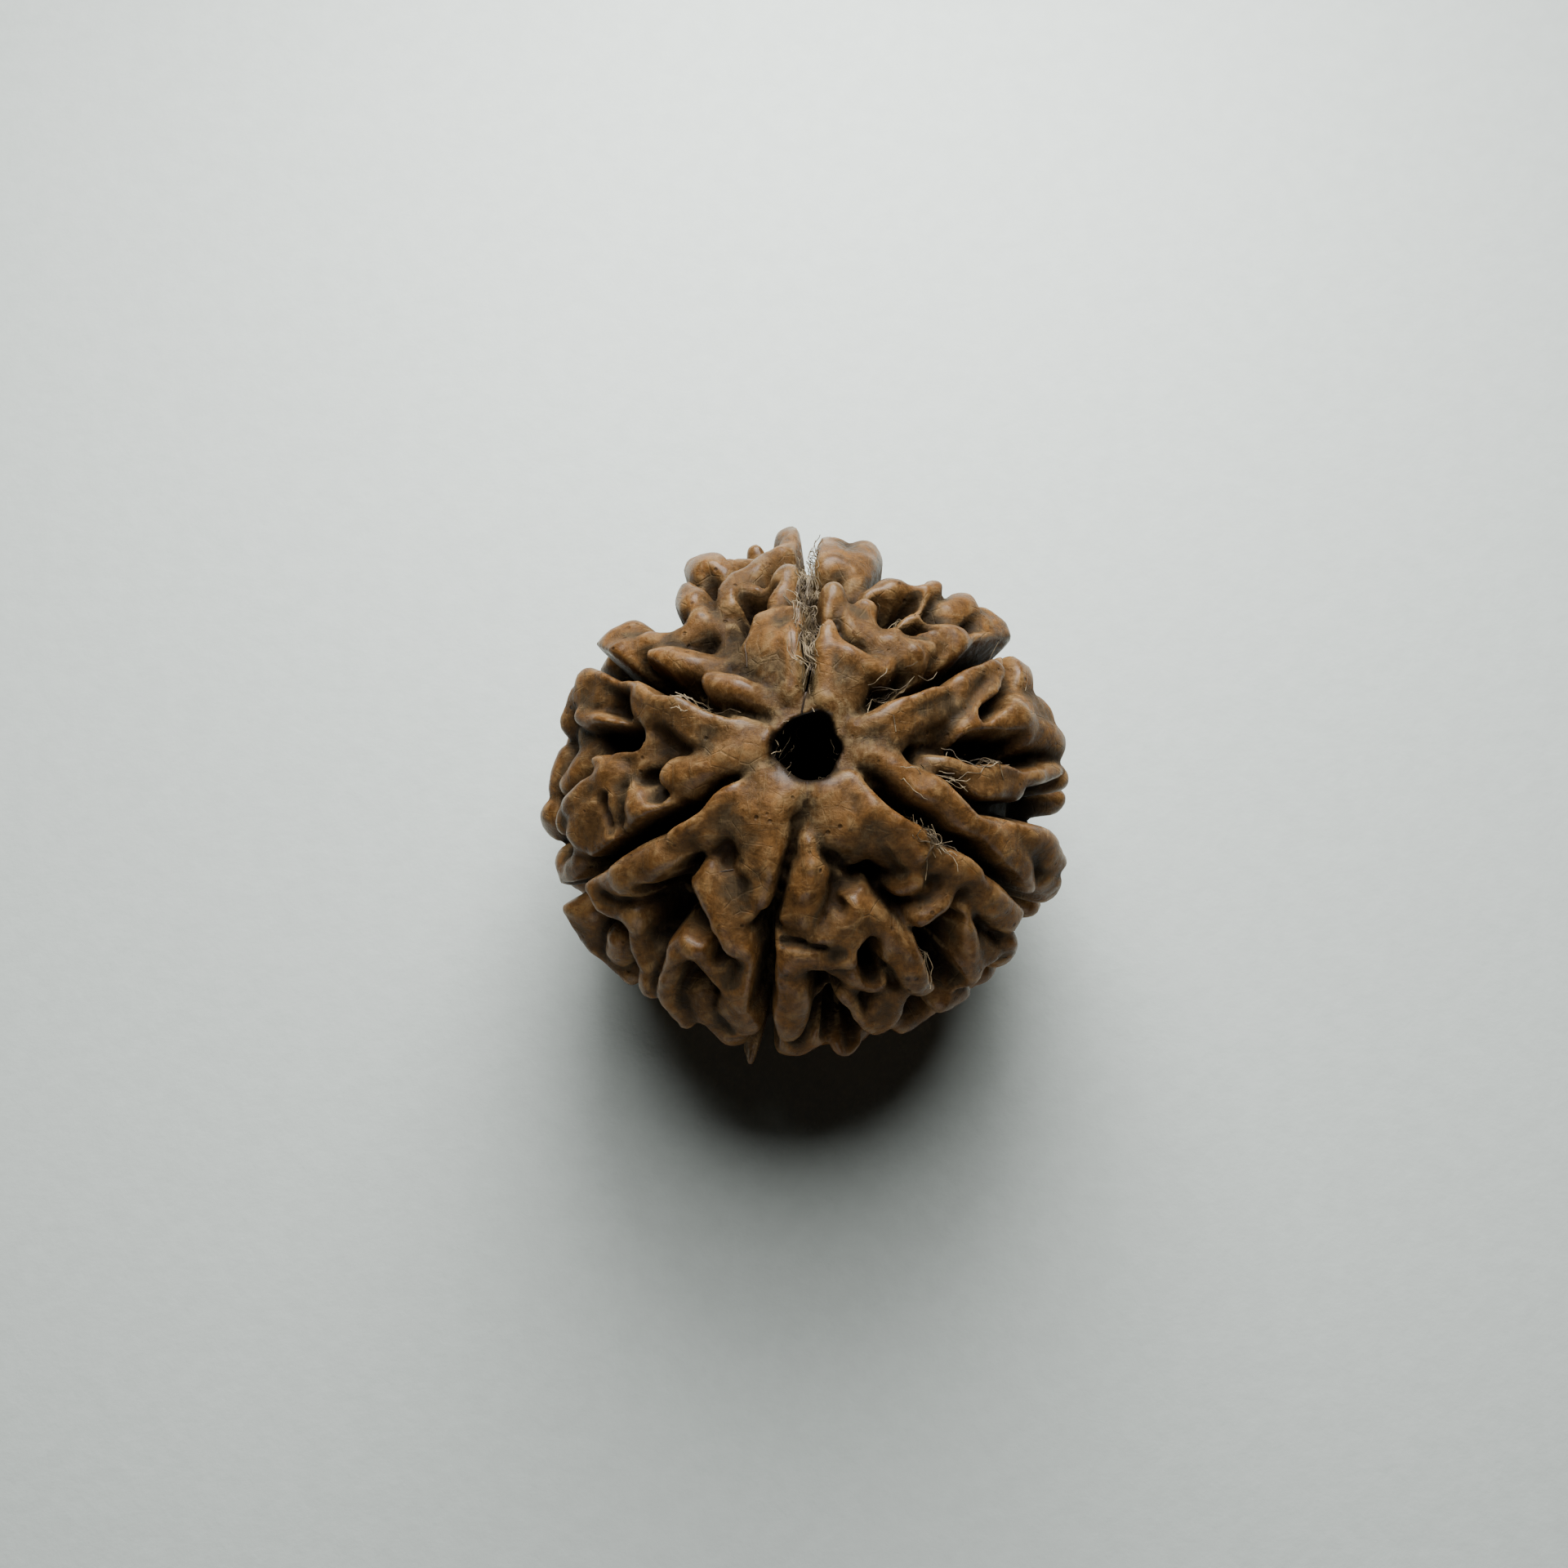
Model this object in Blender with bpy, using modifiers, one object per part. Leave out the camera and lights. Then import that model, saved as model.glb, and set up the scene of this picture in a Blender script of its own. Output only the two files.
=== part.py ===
"""Rudraksha bead: the dried stone of one fruit, with six faces and a hole for a thread.

The stone is one solid. It starts as a sphere whose vertices are moved in or out, each along its
own direction, to a height worked out from ridges, grooves and pits. The hole and the flat that
the bead rests on are cut afterwards. Places on the bead are given in degrees: azimuth about +Z
from +X, and polar angle from the upper end of the hole. Drops, depths and half widths are in
millimetres. A drop is measured down from a smooth outer form that touches the tallest knobs.
"""

import math
import random

import bmesh
import bpy
import numpy as np

MM = 0.001

# Driving dimensions, in millimetres
HALF_WIDTH = 11.0        # of the outer form, across the hole
HALF_HEIGHT = 9.3        # of the outer form, along the hole
VALLEY_DROP = 2.8        # of the floor between the ridges
COLLAR_DROP = 1.0        # of the smooth collar round each end of the hole
COLLAR_POLARS = 12, 27   # where the collar begins to fall to the floor, and where it has reached it
WALL_SLOPE = 5.0         # of the ridges' sides: rise over run
FILLET = 0.2             # softness of the line where two slopes meet
CUT_FILLET = 0.3        # and of the line where a groove or a pit begins
GROOVE_HALF_WIDTH = 0.1
GROOVE_SLOPE = 9.0
PIT_SLOPE = 9.0
MOUTH_RADIUS = 1.34      # of the thread hole at its two ends
THROAT_RADIUS = 1.05     # of the thread hole halfway along
MOUTH_WAVE = 0.05        # share by which the hole is six-sided
HOLE_SIDES = 18
HOLE_RINGS = 9
REST_HEIGHT = 8.2        # of the bead's middle over the surface it stands on

# Fineness of the solid
SPHERE_SUBDIVISIONS = 8
VOXEL = 0.2
SOFTENING = 2            # rounds of smoothing that take the steps off steep walls
TRIANGLES = 11000

# The six grooves between the faces, down the upper half: azimuth, polar angle and drop
GROOVES = [
    [(35, 21, 1.2), (33, 30, 2.2), (31, 40, 3.2), (34, 58, 3.8), (33, 80, 3.0)],
    [(90, 16, 1.2), (90, 24, 2.0), (90, 34, 2.8), (90, 45, 3.4), (90, 62, 3.8), (90, 80, 3.0)],
    [(156, 20, 1.2), (155, 30, 2.4), (153, 40, 3.4), (151, 60, 3.8), (151, 80, 3.0)],
    [(202, 17, 1.3), (205, 26, 2.6), (206, 36, 3.4), (204, 50, 3.8), (204, 65, 3.8), (204, 80, 3.0)],
    [(261, 20, 1.2), (259, 32, 2.0), (257, 45, 3.2), (258, 60, 3.8), (261, 80, 3.0)],
    [(326, 17, 1.3), (327, 26, 2.8), (328, 38, 3.8), (331, 58, 3.8), (330, 80, 3.0)],
]

# Ridges and knobs of the upper half, face by face. Each has its half width, then the places
# along its crest: azimuth, polar angle and drop. A knob has one place.
FACE_NORTH_EAST = [
    (0.5, (74, 15, 0.7), (78, 20, 0.45), (80, 26, 0.25), (80.5, 31, 0.1)),
    (0.45, (80.5, 31.5, 0.15), (73, 27.5, 0.25), (66, 26, 0.35), (56.5, 27, 0.4),
     (49.5, 29.5, 0.5)),
    (0.9, (66, 15, 0.8), (70, 21, 0.55), (71, 25, 0.5)),
    (0.9, (56, 17, 0.85), (58, 22, 0.6)),
    (0.9, (68, 31, 1.5), (58, 31, 1.2), (52, 32, 1.0)),
    (0.7, (81.5, 45, 0.15)),
    (0.6, (83.5, 42, 0.3), (84.5, 38, 0.5)),
    (0.5, (80, 44, 0.3), (74, 39.5, 0.5), (67, 36.5, 0.6), (60, 36, 0.6), (54, 36, 0.5)),
    (0.85, (54, 34, 0.6), (48, 36.5, 0.5), (43.5, 39, 0.45)),
    (0.5, (44.5, 38.5, 0.3)),
    (0.4, (55, 38.5, 0.6), (49, 40.5, 0.45), (43.5, 43.5, 0.4)),
    (0.9, (84, 60, 0.2), (85, 68, 0), (84, 76, -0.1)),
    (0.9, (77.5, 60, 0.3), (77, 68, 0.05), (76.5, 74, 0)),
    (0.5, (76, 56, 0.6), (76, 50, 1.0)),
    (0.4, (70, 43, 0.6), (65, 39.5, 0.7), (60.5, 39, 0.75), (56.5, 42, 0.65), (53.5, 46, 0.6),
     (51, 48.5, 0.5)),
    (0.45, (69, 44, 0.3)),
    (0.6, (55, 41, 1.1)),
    (0.6, (68.5, 51, 0.4), (66.5, 55, 0.3)),
    (0.5, (66, 55, 0.4), (62, 57, 0.4), (58.5, 58, 0.3)),
    (0.45, (57.5, 56, 0.3), (57, 59, 0.1), (57, 62.5, -0.15)),
    (0.65, (57, 55, 0.45), (55, 50, 0.6)),
    (0.75, (48.5, 60, 0.1), (48.5, 67, -0.15)),
    (0.5, (50.5, 49, 0.7), (46, 46, 0.8), (43, 43, 0.9)),
    (0.35, (42, 41, 1.1), (37, 38.5, 1.3), (33, 36.5, 1.6)),
    (0.9, (46, 50, 0.55), (43, 53, 0.35), (41, 54, 0.3)),
    (0.8, (39, 46, 0.9), (38, 50, 0.6)),
    (1.0, (41.5, 67, 0.1), (42, 73, -0.1)),
    (0.8, (36, 60, 0.3), (35, 68, 0.15), (35, 72, 0.1)),
]
FACE_NORTH_WEST = [
    (0.5, (106, 16, 0.7), (100.5, 22, 0.5), (97, 29, 0.35), (94.5, 36, 0.3)),
    (0.9, (110, 19, 0.8), (104, 27, 0.55), (101, 36, 0.5)),
    (0.9, (114, 22, 0.85), (110, 30, 0.65), (108, 37, 0.65)),
    (0.4, (95.5, 38, 0.35), (102, 39.5, 0.5), (109, 39.5, 0.7)),
    (0.6, (117, 28, 0.85), (116, 34, 0.85)),
    (1.0, (124, 27, 1.15), (126, 34, 1.2)),
    (0.8, (133, 36, 1.15), (129, 41, 1.3), (122, 39, 1.4)),
    (0.65, (128, 17, 0.8), (134, 21, 0.6), (139, 26, 0.4), (143.5, 30.5, 0.35)),
    (0.6, (136, 34, 0.9), (139.5, 39, 0.6), (143, 44, 0.4), (147.5, 49, 0.25)),
    (0.6, (137, 39, 0.85), (139, 44, 0.7), (143, 48, 0.6)),
    (1.0, (147, 62, 0), (147.5, 69, -0.1), (142.5, 67, -0.1)),
    (0.8, (141.5, 57, 0.35), (140, 54, 0.5)),
    (0.6, (137, 52, 0.7), (131, 50, 0.75), (126, 50, 0.7)),
    (0.8, (124, 58, 0.25), (123.5, 62, 0.2)),
    (0.7, (124, 52, 0.6), (122.5, 46, 1.0)),
    (0.85, (115.5, 70, -0.1), (114.5, 76, -0.15)),
    (0.5, (112.5, 67, 0.4), (107, 71.5, 0.5), (103, 73, 0.6)),
    (0.4, (101.5, 79, 0.1)),
    (0.5, (116, 50, 0.6), (113.5, 55, 0.45), (109, 59, 0.35), (103, 62, 0.3), (97.5, 66, 0.3)),
    (0.6, (112, 52, 0.7), (107, 55, 0.6)),
    (0.5, (95.5, 68, 0.2), (94, 76, -0.2), (93.5, 82, -0.5)),
    (0.8, (96.5, 53, 0.3), (97, 48, 0.4), (97.5, 43, 0.6)),
    (0.6, (108, 84, 0.3), (112, 90, 0.1)),
    (0.5, (146, 80, 0.8), (149, 90, 0.7)),
]
FACE_WEST = [
    (0.55, (166, 14, 0.7), (163.5, 19, 0.45), (161.5, 26, 0.3), (160, 32, 0.2),
     (158.5, 39, 0.15), (157.5, 47, 0.15)),
    (0.75, (170, 20, 0.7), (166.5, 28, 0.5), (164, 36, 0.45), (162.5, 44, 0.45), (161, 49, 0.4)),
    (0.7, (171, 30, 1.0), (169, 38, 1.0), (168, 44, 0.9)),
    (0.95, (176, 14, 0.75), (178, 20, 0.6), (178, 26, 0.7)),
    (0.8, (187, 14, 0.7), (189, 21, 0.45), (190, 29, 0.35), (189.5, 36, 0.45)),
    (0.6, (196, 20, 0.8), (197, 28, 0.8), (196, 36, 0.8)),
    (0.7, (178, 40, 1.3), (179, 45, 0.9)),
    (0.6, (184, 46, 0.9), (184, 52, 0.7)),
    (0.4, (173, 43, 0.9), (176, 47, 0.7), (178.5, 52, 0.6)),
    (0.5, (179, 57, 0.5), (182, 56, 0.5), (184, 52, 0.6)),
    (0.3, (170, 60, 0.8), (174, 61, 0.7), (178, 59, 0.6)),
    (0.55, (158, 46.5, 0.5), (154.5, 51.5, 0.3), (154, 57, 0.2), (154.5, 63, 0.05),
     (156.5, 68, -0.1)),
    (0.8, (156.5, 68, -0.1), (160.5, 75, 0.05), (164, 77, 0.2)),
    (0.9, (158, 63, 0.35), (160, 70, 0.25)),
    (0.5, (165, 67, 0.3), (167.5, 60, 0.45), (170, 53, 0.6), (172, 46, 0.85)),
    (0.9, (169, 72, 0.9), (173, 68, 1.0), (177, 72, 0.8), (181, 76, 0.5)),
    (0.8, (172, 80, 0.5), (179, 84, 0.35)),
    (0.75, (185, 86, 0), (186, 91, 0.05)),
    (0.55, (184, 56, 0.5), (185, 62, 0.25), (187, 68, 0.15), (190, 75, 0.15)),
    (1.1, (191, 56, 0.4), (192, 63, 0.25), (195, 70, 0.2)),
    (0.7, (199, 58, 0.6), (201, 66, 0.5)),
    (0.65, (191.5, 48, 0.55), (195.5, 47, 0.4), (199, 45, 0.4), (199.5, 41.5, 0.6)),
    (0.7, (201, 50, 0.6), (202, 46, 0.6)),
    (0.95, (196, 88, 0.2), (203, 86, 0.1)),
    (0.6, (161, 86, 0.8), (168, 90, 0.7)),
    (0.7, (199, 76, 0.5), (200, 82, 0.3)),
]
FACE_SOUTH_WEST = [
    (0.5, (212, 14, 0.65), (212.5, 21, 0.35), (212.5, 29, 0.2), (212, 35, 0.2), (213, 40, 0.3)),
    (0.9, (220, 15, 0.75), (221, 22, 0.5), (221, 29, 0.5), (220, 35, 0.55)),
    (1.05, (230, 14, 0.75), (231, 21, 0.5), (232, 27, 0.55)),
    (1.0, (241, 14, 0.7), (243, 21, 0.45), (244, 28, 0.45), (247, 34, 0.45)),
    (0.6, (250, 14, 0.75), (253, 19, 0.7), (253.5, 26, 0.55), (252.5, 33, 0.5), (251, 40, 0.45)),
    (0.6, (227, 34, 1.1), (231, 36, 1.3)),
    (0.95, (215.5, 44, 0.45), (213.5, 50.5, 0.25), (212, 57, 0.2), (211, 62, 0.25)),
    (0.5, (218, 45, 0.7), (216.5, 52, 0.6)),
    (0.6, (207.5, 65, 0.3), (208, 70, 0.2), (211.5, 71, 0.35), (216, 69, 0.5), (221, 67, 0.6)),
    (0.5, (221, 67, 0.6), (224, 71, 0.6), (226.5, 77, 0.5)),
    (0.7, (212, 63.5, 0.4), (215.5, 60, 0.6)),
    (1.15, (208.5, 85, -0.2), (213, 91, -0.05)),
    (0.8, (220, 81, 0.5), (221, 87, 0.4)),
    (0.95, (232, 43.5, 0.45), (238, 46.5, 0.25), (244, 50, 0.2), (249, 54, 0.2)),
    (0.7, (240, 41.5, 0.7), (247, 46, 0.5)),
    (0.6, (241, 55, 0.4), (237.5, 59.5, 0.2), (235.5, 64, 0.15)),
    (0.8, (240, 61, 0.4), (245, 62.5, 0.45), (250, 66, 0.45)),
    (0.8, (255, 55, 0.4), (255, 62, 0.25), (255, 70, 0.2), (255, 79, 0.2)),
    (0.6, (251.5, 68, 0.5), (252, 76, 0.4)),
    (1.0, (253, 86, 0.1), (253, 91, 0.1)),
    (0.5, (235.5, 66, 0.2), (236, 73, 0.1), (238, 80, 0), (243, 86, -0.05)),
    (1.0, (243, 77, 0.5), (247, 82, 0.3)),
    (0.8, (226.5, 75, 1.6), (228, 74.5, 1), (229, 78, 0.5)),
    (0.7, (232, 82, 0.1)),
    (0.6, (217, 92, 0.2), (225, 93, 0.2)),
]
FACE_SOUTH = [
    (0.5, (316, 14, 0.65), (319, 20, 0.35), (320, 29, 0.15), (318.5, 38, 0.15)),
    (0.6, (313, 24, 0.35), (314, 32, 0.3), (313, 38, 0.4)),
    (0.45, (317, 40, 0.3), (311, 43, 0.6), (305.5, 44.5, 0.9)),
    (0.95, (285, 14, 0.7), (289, 20, 0.5), (293, 25, 0.6), (296, 30, 1.1)),
    (1.0, (300, 14, 0.7), (303, 22, 0.5), (306, 29, 0.55), (309, 36, 0.9)),
    (0.7, (275, 14, 0.75), (277, 19, 0.7), (282, 24, 0.7)),
    (0.35, (270.5, 21, 1.0), (270.5, 25, 0.5)),
    (0.5, (270.5, 26, 0.45), (270.3, 29, 0.3)),
    (0.8, (270, 33, 0.3), (269, 36, 0.3)),
    (1.1, (268.5, 39, 0.4), (267, 43, 0.4)),
    (0.4, (274, 30, 1.1), (279, 32.5, 1.3), (284, 37, 1.35), (286.5, 41, 1.1), (286, 45, 0.6)),
    (0.6, (286, 43, 0.7), (284, 49, 0.35), (282.5, 54, 0.2)),
    (0.5, (281, 54.5, 0.25), (275, 55, 0.3), (269, 55, 0.35), (263.5, 55.5, 0.35)),
    (0.85, (264.5, 58, 0.3), (265.5, 64, 0.2), (266, 71, 0.2), (265.5, 77, 0.2)),
    (0.65, (276.5, 57.5, 0.8), (281.5, 60, 0.6), (286.5, 65, 0.45)),
    (0.8, (289.5, 43, 0.8), (291.5, 49, 0.4)),
    (0.95, (293.5, 54, 0.25), (296.5, 60, 0.15), (298.5, 67, 0.1), (299, 71, 0.3)),
    (0.5, (306, 53.5, 0.35), (310, 53, 0.4), (316, 51.5, 0.45), (320, 50, 0.4)),
    (0.8, (311, 46, 0.9)),
    (0.85, (321, 44.5, 0.35), (323.5, 49, 0.25), (324.5, 54, 0.25)),
    (0.75, (323.5, 59, 0.3), (324, 66, 0.2), (325.5, 74, 0.2)),
    (0.45, (317, 59, 0.6), (314.5, 64, 0.5), (312.5, 71, 0.4), (310, 80, 0.2)),
    (0.85, (305.7, 73, 0.3), (306, 79, 0.25)),
    (0.75, (322, 80, 0.15), (320, 86, 0.2)),
    (0.9, (315, 74, 0.6), (315, 80, 0.4)),
    (0.35, (279, 66, 0.6), (282, 72, 0.35), (284.5, 79, 0.15), (286.5, 74, 0.35), (289, 69, 0.5)),
    (0.5, (285.5, 85, 0.3), (289, 78, 0.3), (292, 71, 0.4)),
    (0.35, (275, 71, 0.8)),
    (0.75, (262.5, 84, 0.1), (266, 89, 0.1), (272, 85, 0.3)),
    (0.8, (278.5, 90, 0.1)),
    (0.6, (302, 85, 0.3), (307, 90, 0.2)),
    (0.6, (286, 88, 0.6), (290, 92, 0.8)),
    (0.6, (319, 90, 0.3)),
    (0.75, (264, 53, 0.35), (270, 52, 0.35), (275, 49, 0.3), (280.5, 46.5, 0.3), (285, 43.5, 0.4)),
]
FACE_EAST = [
    (0.5, (378, 13.5, 0.65), (382, 20, 0.4), (387, 26, 0.2), (388, 32, 0.2), (389, 38.5, 0.3)),
    (0.9, (370, 15, 0.8), (375, 22, 0.55), (379, 29, 0.5), (381, 35, 0.6)),
    (0.8, (368, 22, 0.9), (370, 30, 1.1), (374, 36, 1.2)),
    (0.8, (361, 18, 0.85), (362, 24, 1.1)),
    (0.9, (364, 34, 1.7), (370, 40, 1.4)),
    (0.5, (391, 57, 0.15), (387, 58.5, 0.2), (382, 55, 0.25), (378, 50, 0.35), (371.5, 43, 0.7)),
    (0.75, (390, 53, 0.25), (386, 47, 0.4), (382, 42, 0.7), (376, 41, 1.0)),
    (0.95, (389, 65, 0.1), (385, 71, 0.1)),
    (0.7, (385, 65, 0.4), (381, 68, 0.6)),
    (1.0, (370.5, 45, 0.6), (372, 52, 0.3), (372.5, 60, 0.15), (372, 69, 0.1), (370, 78, 0.1)),
    (0.7, (375, 48, 0.7), (377, 56, 0.35), (378.5, 66, 0.2), (377, 76, 0.15)),
    (0.75, (363.5, 84, 0.05)),
    (0.35, (358, 62, 0.7), (361, 70, 0.5), (364, 78, 0.3)),
    (0.45, (354, 33, 1.0), (355, 38, 0.8), (356, 45, 0.7), (358, 52, 0.65), (360, 58, 0.6)),
    (0.8, (352, 47, 0.9), (353, 54, 0.8), (355, 61, 0.7)),
    (0.6, (347.5, 42, 0.9), (348.5, 49, 0.9)),
    (0.7, (352, 15, 0.7), (349.5, 22, 0.45), (345.5, 27, 0.35), (341, 32.5, 0.25)),
    (0.7, (341, 32.5, 0.25), (338, 38, 0.2), (337.5, 44, 0.2), (337, 50, 0.3)),
    (0.8, (337, 53, 0.35), (336.5, 59, 0.2), (335.5, 66, 0.2), (334, 74, 0.2)),
    (0.6, (344, 54, 0.6), (343.5, 60, 0.3), (342.5, 67, 0.1), (343, 76, -0.1), (343.5, 84, -0.1)),
    (0.8, (338, 80, 0), (338, 88, -0.05)),
]
FACES = [FACE_NORTH_EAST, FACE_NORTH_WEST, FACE_WEST, FACE_SOUTH_WEST, FACE_SOUTH, FACE_EAST]

# Pits of the upper half: half width, depth, and the places along the floor
PITS = [
    (0.15, 1.8, (55, 45), (49.5, 50)),
    (0.25, 3.4, (65.5, 48.5), (61, 49.5), (58, 53)),
    (0.25, 3.0, (109, 51), (102.5, 49.5)),
    (0.2, 2.2, (111.5, 49.5), (109.5, 50)),
    (0.3, 2.8, (118, 62), (116.5, 64)),
    (0.2, 1.6, (120, 43), (122, 43)),
    (0.35, 4.0, (172, 48), (172.5, 55), (172.5, 61)),
    (0.2, 1.1, (176, 35.5), (178, 36)),
    (0.15, 1.3, (189.5, 56), (193.5, 56.5), (198.5, 57)),
    (0.25, 1.4, (195, 42), (196, 41)),
    (0.25, 1.9, (186, 43), (188, 45)),
    (0.25, 2.4, (222.5, 43), (223, 46)),
    (0.28, 3.6, (220, 57), (223, 57.5), (232, 55.5), (237, 54)),
    (0.2, 2.6, (242, 54.5), (246, 59.5)),
    (0.2, 1.2, (280, 40.5), (282, 42)),
    (0.06, 1.5, (262, 50.5), (266.5, 50), (271, 50), (275, 49.5)),
    (0.15, 3.2, (287, 52.5), (286.5, 57.5), (286.5, 62.5)),
    (0.4, 3.8, (304.5, 60), (304.5, 67), (304, 78)),
    (0.15, 2.2, (310, 60), (314, 59.5)),
    (0.38, 3.6, (276.5, 72), (276.5, 83)),
    (0.3, 3.0, (280, 84), (281, 87)),
    (0.4, 4.2, (364.5, 45), (364, 52), (364.5, 59)),
    (0.3, 1.9, (357, 28), (359, 29)),
    (0.2, 1.2, (349, 37), (350, 38)),
    (0.35, 2.2, (351.5, 66), (351.5, 76), (351, 88)),
    (0.3, 2.4, (346.5, 40.5), (344, 46.5), (346, 55), (349.5, 64.5)),
    (0.15, 2.0, (391, 66), (384, 61.5), (378, 55), (374.5, 47.5)),
]

LOWEST_MIRRORED_POLAR = 84   # ridges past this lie on the middle and have no twin below
RIDGE_REACH = 20             # degrees past a ridge's places beyond which it is not felt
CUT_REACH = 12               # the same for grooves and pits


def directions(azimuth, polar):
    """Unit vectors that point at places on the bead."""
    a = np.radians(azimuth)
    p = np.radians(polar)
    return np.stack((np.cos(a) * np.sin(p), np.sin(a) * np.sin(p), np.cos(p)), -1)


def outer_radius(unit):
    """Distance from the middle to the smooth outer form."""
    across = (unit[..., 0] ** 2 + unit[..., 1] ** 2) / HALF_WIDTH**2
    return 1 / np.sqrt(across + unit[..., 2] ** 2 / HALF_HEIGHT**2)


def smoothstep(low, high, value):
    t = np.clip((value - low) / (high - low), 0, 1)
    return t * t * (3 - 2 * t)


def near_path(unit, places, reach):
    """Indices of the directions within an angle of any of the places."""
    closest = (unit @ places.T).max(1)
    return np.nonzero(closest > math.cos(math.radians(reach)))[0]


def along_path(unit, places, values):
    """For each segment of a path: sideways distance to it, and the value where it is nearest."""
    if len(places) == 1:
        places = np.repeat(places, 2, axis=0)
        values = np.repeat(values, 2)
    for a, b, start, end in zip(places, places[1:], values, values[1:]):
        step = b - a
        t = np.clip((unit - a) @ step / max(step @ step, 1e-9), 0, 1)
        line = a + t[:, None] * step
        line /= np.linalg.norm(line, axis=1, keepdims=True)
        side = outer_radius(line) * np.linalg.norm(unit - line, axis=1)
        yield side, start + t * (end - start)


def ridge_height(side, half_width):
    """Height over a ridge's crest: a round top that runs on as straight sloping walls."""
    turn = half_width * WALL_SLOPE / math.hypot(1, WALL_SLOPE)
    top = np.sqrt(np.maximum(half_width**2 - np.minimum(side, turn) ** 2, 0)) - half_width
    return top - WALL_SLOPE * np.maximum(side - turn, 0)


def smaller(a, b, radius):
    """The smaller of two heights, rounded where they cross."""
    h = np.clip(0.5 + 0.5 * (b - a) / radius, 0, 1)
    return b + (a - b) * h - radius * h * (1 - h)


def face_edges(k):
    """Azimuths of the grooves on both sides of a face, low then high."""
    low = GROOVES[k][-1][0]
    high = GROOVES[(k + 1) % len(GROOVES)][-1][0]
    return low, high if high > low else high + 360


def lower_ridges():
    """Ridges of the lower half: each face there takes the turned ones of another face above."""
    chance = random.Random(6)
    made = []
    for k, face in enumerate(FACES):
        low, high = face_edges(k)
        new_low, new_high = face_edges((k + 2) % len(FACES))
        for half_width, *crest in face:
            if max(polar for _, polar, _ in crest) > LOWEST_MIRRORED_POLAR:
                continue
            turned = []
            for azimuth, polar, drop in crest:
                share = (high - azimuth) / (high - low)
                azimuth = new_low + share * (new_high - new_low) + chance.uniform(-2, 2)
                polar = 180 - polar + chance.uniform(-1.5, 1.5)
                turned.append((azimuth, polar, drop + chance.uniform(0, 0.25)))
            made.append((half_width, *turned))
    return made


def lower_pits():
    """Pits of the lower half, half a turn round from those above."""
    return [
        (half_width, depth, *[(azimuth + 180, 180 - polar) for azimuth, polar in places])
        for half_width, depth, *places in PITS
    ]


def add_ridges(unit, total):
    """Melts every ridge into the running sum."""
    ridges = [ridge for face in FACES for ridge in face] + lower_ridges()
    for half_width, *crest in ridges:
        azimuth, polar, drop = np.array(crest).T
        places = directions(azimuth, polar)
        index = near_path(unit, places, RIDGE_REACH)
        best = np.full(len(index), -20.0)
        for side, depth in along_path(unit[index], places, drop):
            best = np.maximum(best, ridge_height(side, half_width) - depth)
        total[index] += np.exp(best / FILLET)


def groove_places(groove):
    """Places and drops of a groove from one end of the hole to the other."""
    end = groove[-1][0]
    below = [(end, 180 - polar, drop) for _, polar, drop in reversed(groove)]
    azimuth, polar, drop = np.array(groove + below, float).T
    return directions(azimuth, polar), drop


def cut_slot(unit, height, places, drops, half_width, slope):
    """Lowers the surface to a slot with sloping walls along a path."""
    index = near_path(unit, places, CUT_REACH)
    for side, deep in along_path(unit[index], places, drops):
        wall = slope * np.maximum(side - half_width, 0) - deep
        height[index] = smaller(height[index], wall, CUT_FILLET)


def surface_height(unit):
    """Height of the surface over the outer form in each direction: nearly always below zero."""
    from_end = np.degrees(np.arccos(np.clip(np.abs(unit[:, 2]), 0, 1)))
    floor = COLLAR_DROP + (VALLEY_DROP - COLLAR_DROP) * smoothstep(*COLLAR_POLARS, from_end)
    total = np.exp(-floor / FILLET)
    add_ridges(unit, total)
    height = FILLET * np.log(total)
    for groove in GROOVES:
        cut_slot(unit, height, *groove_places(groove), GROOVE_HALF_WIDTH, GROOVE_SLOPE)
    for half_width, depth, *spots in PITS + lower_pits():
        azimuth, polar = np.array(spots, float).T
        drops = np.full(len(spots), depth)
        cut_slot(unit, height, directions(azimuth, polar), drops, half_width, PIT_SLOPE)
    return height


def stone_mesh():
    """The stone without its hole: a sphere with each vertex moved to the surface's height."""
    bm = bmesh.new()
    bmesh.ops.create_icosphere(bm, subdivisions=SPHERE_SUBDIVISIONS, radius=1)
    mesh = bpy.data.meshes.new("bead")
    bm.to_mesh(mesh)
    bm.free()
    unit = np.empty(len(mesh.vertices) * 3, np.float32)
    mesh.vertices.foreach_get("co", unit)
    unit = unit.reshape(-1, 3).astype(float)
    unit /= np.linalg.norm(unit, axis=1, keepdims=True)
    points = unit * (outer_radius(unit) + surface_height(unit))[:, None]
    points[:, 2] += REST_HEIGHT
    mesh.vertices.foreach_set("co", (points * MM).ravel())
    mesh.update()
    return mesh


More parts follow.
